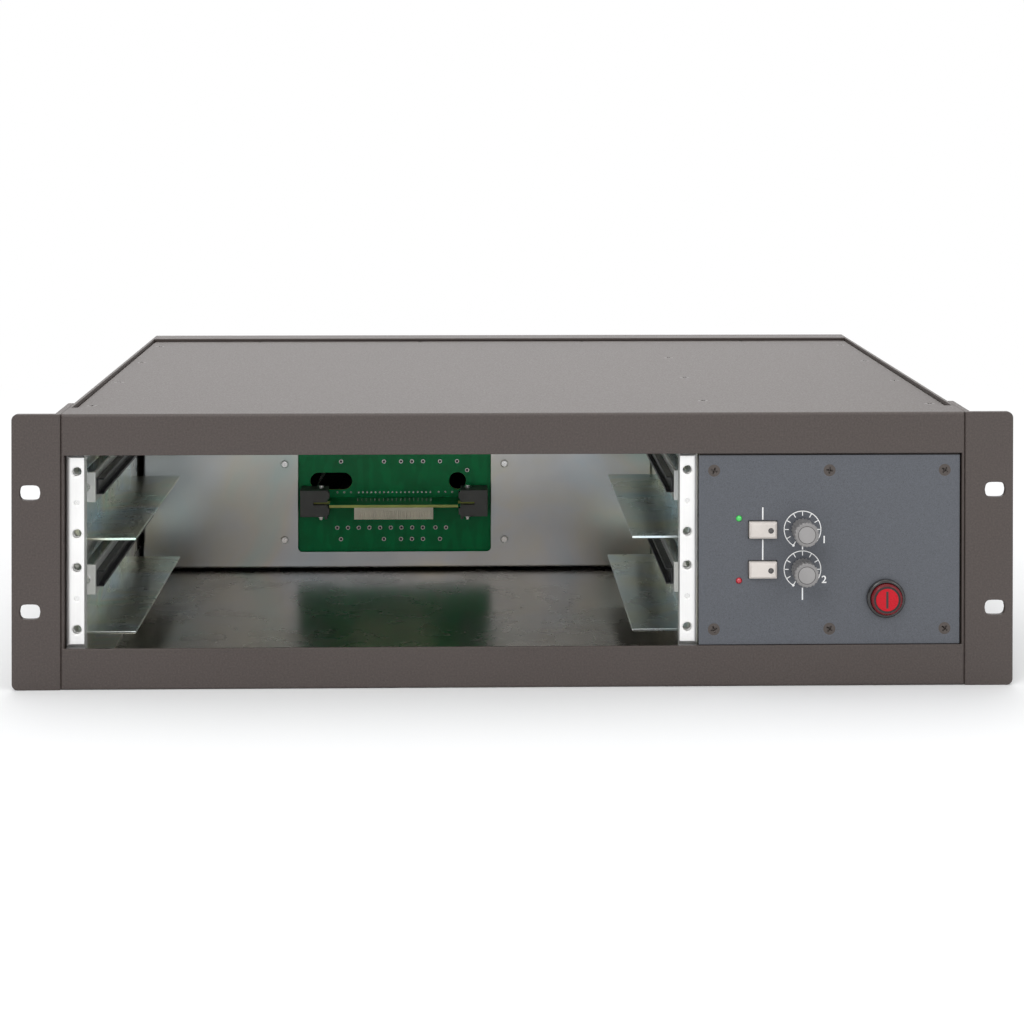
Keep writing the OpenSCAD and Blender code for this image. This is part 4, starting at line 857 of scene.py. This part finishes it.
def letterPiece(name, words, height, centre, finish):
    curve = bpy.data.curves.new(name, "FONT")
    curve.body = words
    curve.size = height / letterSizes["capShare"]
    curve.extrude = ink
    curve.offset = height * letterSizes["thicken"]
    curve.align_x, curve.align_y = "CENTER", "CENTER"
    holder = linkMesh(name + "Curve", curve)
    mesh = bakedMesh(holder)
    bpy.data.objects.remove(holder)
    mesh.transform(Matrix.Translation(centre) @ Matrix.Rotation(math.pi / 2, 4, "X"))
    mesh.materials.clear()
    mesh.materials.append(finish)
    return adopt(linkMesh(name, mesh), "case", "panel_paint")


for number, centre in enumerate(dialCentres, 1):
    spot = centre + Vector((printSizes["digitRight"], 0, -printSizes["digitDown"])) * mm
    letterPiece("dialNumber" + str(number), str(number), printSizes["digitHeight"] * mm, spot, printWhite)
print("panel printed")


# Screw threads in the tapped holes: a spiral ridge just inside each bore
def threadTree():
    tree, given, out = startTree("tappedThread", {
        "boreRadius": ("Float", 0.0025), "pitch": ("Float", 0.001), "turns": ("Float", 8.0),
        "ridge": ("Float", 0.0004), "lead": ("Float", 0.0), "finish": ("Material", None)})
    tall = calc(tree, "MULTIPLY", given["pitch"], given["turns"])
    coil = addNode(tree, "GeometryNodeCurveSpiral", Resolution=28, Rotations=given["turns"],
                   Start_Radius=given["boreRadius"], End_Radius=given["boreRadius"], Height=tall).outputs[0]
    ridge = sweep(tree, coil, circle(tree, 4, given["ridge"]))
    sunk = lift(tree, ridge, calc(tree, "MULTIPLY", calc(tree, "ADD", tall, given["lead"]), -1.0))
    finishTree(tree, out, sowOnPoints(tree, given["Geometry"], sunk), given["finish"], False)
    return tree


threadPlaces = []
for mountName in ("upper_module_holes", "lower_module_holes"):
    mount = mountAt[mountName]
    halfX, halfZ = mount["dims"]["spacing_x_mm"] / 2 * mm, mount["dims"]["spacing_y_mm"] / 2 * mm
    for side in (-1, 1):
        for end in (-1, 1):
            threadPlaces.append((Vector(mount["pos_m"]) + Vector((side * halfX, 0, end * halfZ)), -plusY))
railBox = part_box("left_module_rail")
threadSizes = {"boreRadius": mount["dims"]["hole_r_mm"] * mm, "pitch": 0.9 * mm, "ridge": 0.36 * mm,
               "lead": 0.5 * mm}
threadLength = railBox[1].y - railBox[0].y - 2 * threadSizes["lead"]
threadValues = dict(threadSizes, turns=threadLength / threadSizes["pitch"], finish=railMetal)
adopt(growPiece("railThreads", threadTree(), pointCloud("railThreads", threadPlaces), threadValues), "case",
      "rail_aluminium")


# Test points on the backplane: a tinned eyelet raised a little round a hole, whose dark inside is painted
# shade as a black disc
def eyeletTree():
    tree, given, out = startTree("boardEyelets", {
        "eyeletRadius": ("Float", 0.001), "wall": ("Float", 0.0003), "flatten": ("Float", 0.45),
        "finish": ("Material", None)})
    ring = sweep(tree, circle(tree, 20, given["eyeletRadius"]), circle(tree, 6, given["wall"]), False)
    squash = addNode(tree, "ShaderNodeCombineXYZ", X=1.0, Y=1.0, Z=given["flatten"]).outputs[0]
    flat = addNode(tree, "GeometryNodeTransform", Geometry=ring, Scale=squash).outputs[0]
    finishTree(tree, out, sowOnPoints(tree, given["Geometry"], flat), given["finish"])
    return tree


boardEyelets = eyeletTree()
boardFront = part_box("backplane_board")[0].y
levelHeights = {level: mountAt[level + "_module_holes"]["pos_m"][2] for level in levels}
# In millimetres: places across the case, and heights from the middle of each module's bay
testPoints = {
    "rowA": {"at": (*(-98.7 + i * 6.35 for i in range(9)), -40.4, -34.1), "up": -15.3},
    "rowB": {"at": (-96.5, -71.0, -60.9, -54.4, -47.8, -37.7), "up": -22.1},
    "extra": {"upper": (-27.6, -22.1), "lower": (-21.6, 18.8)},
    "eyeletRadius": 1.0, "wall": 0.34, "flatten": 0.5, "hole": 0.72, "holeDepth": 0.06,
}
eyeletPlaces = []
for middle in levelHeights.values():
    for row in (testPoints["rowA"], testPoints["rowB"]):
        eyeletPlaces += [(x, middle / mm + row["up"]) for x in row["at"]]
eyeletPlaces += [(x, levelHeights[level] / mm + up) for level, (x, up) in testPoints["extra"].items()]
eyeletPoints = [(Vector((x * mm, boardFront, z * mm)), -plusY) for x, z in eyeletPlaces]


def growEyelets(name, points, sizes):
    values = {"eyeletRadius": sizes["eyeletRadius"] * mm, "wall": sizes["wall"] * mm,
              "flatten": sizes["flatten"], "finish": solderTin}
    adopt(growPiece(name, boardEyelets, pointCloud(name, points), values), "case", "board_green")


growEyelets("testPointEyelets", eyeletPoints, testPoints)
# In millimetres: a row of soldered pins over each connector board, with three bare vias at either end
pinRow = {"first": -86.0, "pitch": 2.5, "count": 18, "above": 3.0,
          "viasAt": (-98.6, -94.6, -90.6, -38.5, -34.5, -30.5)}
viaSizes = {"eyeletRadius": 0.42, "wall": 0.20, "flatten": 0.5}
jointSizes = {"eyeletRadius": 0.30, "wall": 0.34, "flatten": 1.3}
viaPoints, jointPoints = [], []
for level in levels:
    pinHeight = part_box(level + "_connector_board")[1].z + pinRow["above"] * mm
    pinsAt = [pinRow["first"] + i * pinRow["pitch"] for i in range(pinRow["count"])]
    for points, places in ((jointPoints, pinsAt), (viaPoints, pinRow["viasAt"])):
        points += [(Vector((x * mm, boardFront, pinHeight)), -plusY) for x in places]
growEyelets("pinRowVias", viaPoints, viaSizes)
growEyelets("pinRowJoints", jointPoints, jointSizes)


# Black discs on the board in the eyelets' holes: painted shade where the holes are
def plugTree():
    tree, given, out = startTree("eyeletMouths", {
        "plugRadius": ("Float", 0.0007), "plugDepth": ("Float", 0.0001), "finish": ("Material", None)})
    plug = addNode(tree, "GeometryNodeMeshCylinder", Vertices=16, Radius=given["plugRadius"],
                   Depth=given["plugDepth"]).outputs["Mesh"]
    finishTree(tree, out, sowOnPoints(tree, given["Geometry"], plug), given["finish"], False)
    return tree


holeShadeValues = {"plugRadius": testPoints["hole"] * mm, "plugDepth": testPoints["holeDepth"] * mm,
              "finish": inkBlack}
adopt(growPiece("eyeletMouths", plugTree(), pointCloud("eyeletMouths", eyeletPoints), holeShadeValues), "case",
      "board_green")
print("threads and test points grown")

cameraPlace = {"at": (-0.0294795, -1.030, 0.22115634), "yaw": -0.02399, "pitch": -0.00795, "roll": 0.00081,
               "lens": 75.354, "shift": (0.006368, -0.394234)}
camData = bpy.data.cameras.new("frontCamera")
camData.sensor_width = 36
camData.lens = cameraPlace["lens"]
camData.shift_x, camData.shift_y = cameraPlace["shift"]
camData.clip_start, camData.clip_end = 0.05, 60
cam = linkMesh("frontCamera", camData)
cy, sy = math.cos(cameraPlace["yaw"]), math.sin(cameraPlace["yaw"])
cp, sp = math.cos(cameraPlace["pitch"]), math.sin(cameraPlace["pitch"])
cr, sr = math.cos(cameraPlace["roll"]), math.sin(cameraPlace["roll"])
toLens = (Matrix(((cr, 0, sr), (0, 1, 0), (-sr, 0, cr))) @ Matrix(((1, 0, 0), (0, cp, sp), (0, -sp, cp)))
          @ Matrix(((cy, sy, 0), (-sy, cy, 0), (0, 0, 1))))
right, ahead, above = (Vector(row) for row in toLens)
turn = Matrix((right, above, -ahead)).transposed().to_4x4()
cam.matrix_world = Matrix.Translation(cameraPlace["at"]) @ turn
bpy.context.scene.camera = cam

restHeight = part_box("front_bezel")[0].z
floorMesh = bpy.data.meshes.new("floor")
reach = 6.0  # half the floor's width
floorCorners = [(x * reach, y * reach, restHeight) for x, y in ((-1, -1), (1, -1), (1, 1), (-1, 1))]
floorMesh.from_pydata(floorCorners, [], [(0, 1, 2, 3)])
floorPaper, floorTree, floorSkin = startMaterial("floorPaper")
paperTone = ramp(floorTree, cloud(floorTree, placeOn(floorTree), 3.0),
                 [(0.3, (0.90, 0.90, 0.90)), (0.7, (0.92, 0.92, 0.92))])
feed(floorTree, floorSkin, Base_Color=paperTone, Roughness=0.8, Specular_IOR_Level=0.2)
# The floor turns into the white backdrop between these distances from the case's front
fadeFrom, fadeTo = 0.55, 1.15
fromCase = addNode(floorTree, "ShaderNodeVectorMath", {"operation": "LENGTH"}, Vector=placeOn(floorTree))
away = spread(floorTree, fromCase.outputs["Value"], 0.0, 1.0, fadeFrom, fadeTo)
backdrop = addNode(floorTree, "ShaderNodeEmission", Color=(1, 1, 1, 1), Strength=1.0)
fadeOut = addNode(floorTree, "ShaderNodeMixShader")
floorPaths = floorTree.nodes.new("ShaderNodeLightPath").outputs
seenRays = calc(floorTree, "MAXIMUM", floorPaths["Is Camera Ray"], floorPaths["Is Glossy Ray"])
floorTree.links.new(calc(floorTree, "MULTIPLY", away, seenRays), fadeOut.inputs[0])
floorTree.links.new(floorSkin.outputs["BSDF"], fadeOut.inputs[1])
floorTree.links.new(backdrop.outputs[0], fadeOut.inputs[2])
floorOut = [n for n in floorTree.nodes if n.type == "OUTPUT_MATERIAL"][0]
floorTree.links.new(fadeOut.outputs[0], floorOut.inputs["Surface"])
floorMesh.materials.append(floorPaper)
floor = linkMesh("floor", floorMesh)

world = bpy.data.worlds.new("studio")
bpy.context.scene.world = world
world.use_nodes = True
sky = world.node_tree
sky.nodes.clear()
skyOut = sky.nodes.new("ShaderNodeOutputWorld")
paths = sky.nodes.new("ShaderNodeLightPath").outputs
seen = calc(sky, "MAXIMUM", calc(sky, "MAXIMUM", paths["Is Camera Ray"], paths["Is Glossy Ray"]),
            paths["Is Transmission Ray"])
plain = addNode(sky, "ShaderNodeBackground", Color=(1, 1, 1, 1), Strength=1.0)
soft = addNode(sky, "ShaderNodeBackground", Color=(0.97, 0.985, 1.0, 1), Strength=0.62)
blend = addNode(sky, "ShaderNodeMixShader")
sky.links.new(seen, blend.inputs[0])
sky.links.new(soft.outputs[0], blend.inputs[1])
sky.links.new(plain.outputs[0], blend.inputs[2])
sky.links.new(blend.outputs[0], skyOut.inputs["Surface"])

lampSizes = {
    "keyLamp": {"at": (-0.9, -1.6, 1.7), "size": 1.3, "power": 22},
    "fillLamp": {"at": (1.5, -1.4, 1.1), "size": 1.2, "power": 10},
    "topLamp": {"at": (0.0, 0.5, 2.0), "size": 1.6, "power": 16},
    "backLamp": {"at": (0.0, 2.2, 1.2), "size": 1.6, "power": 7},
}
lampAim = Vector((0, 0.1, 0))
for lampName, lamp in lampSizes.items():
    lampData = bpy.data.lights.new(lampName, "AREA")
    lampData.shape = "SQUARE"
    lampData.size = lamp["size"]
    lampData.energy = lamp["power"]
    lampObject = linkMesh(lampName, lampData)
    lampObject.location = lamp["at"]
    lampObject.rotation_euler = (lampAim - Vector(lamp["at"])).to_track_quat("-Z", "Y").to_euler()
bpy.context.scene.view_settings.view_transform = "Standard"
print("camera, lamps and floor set")
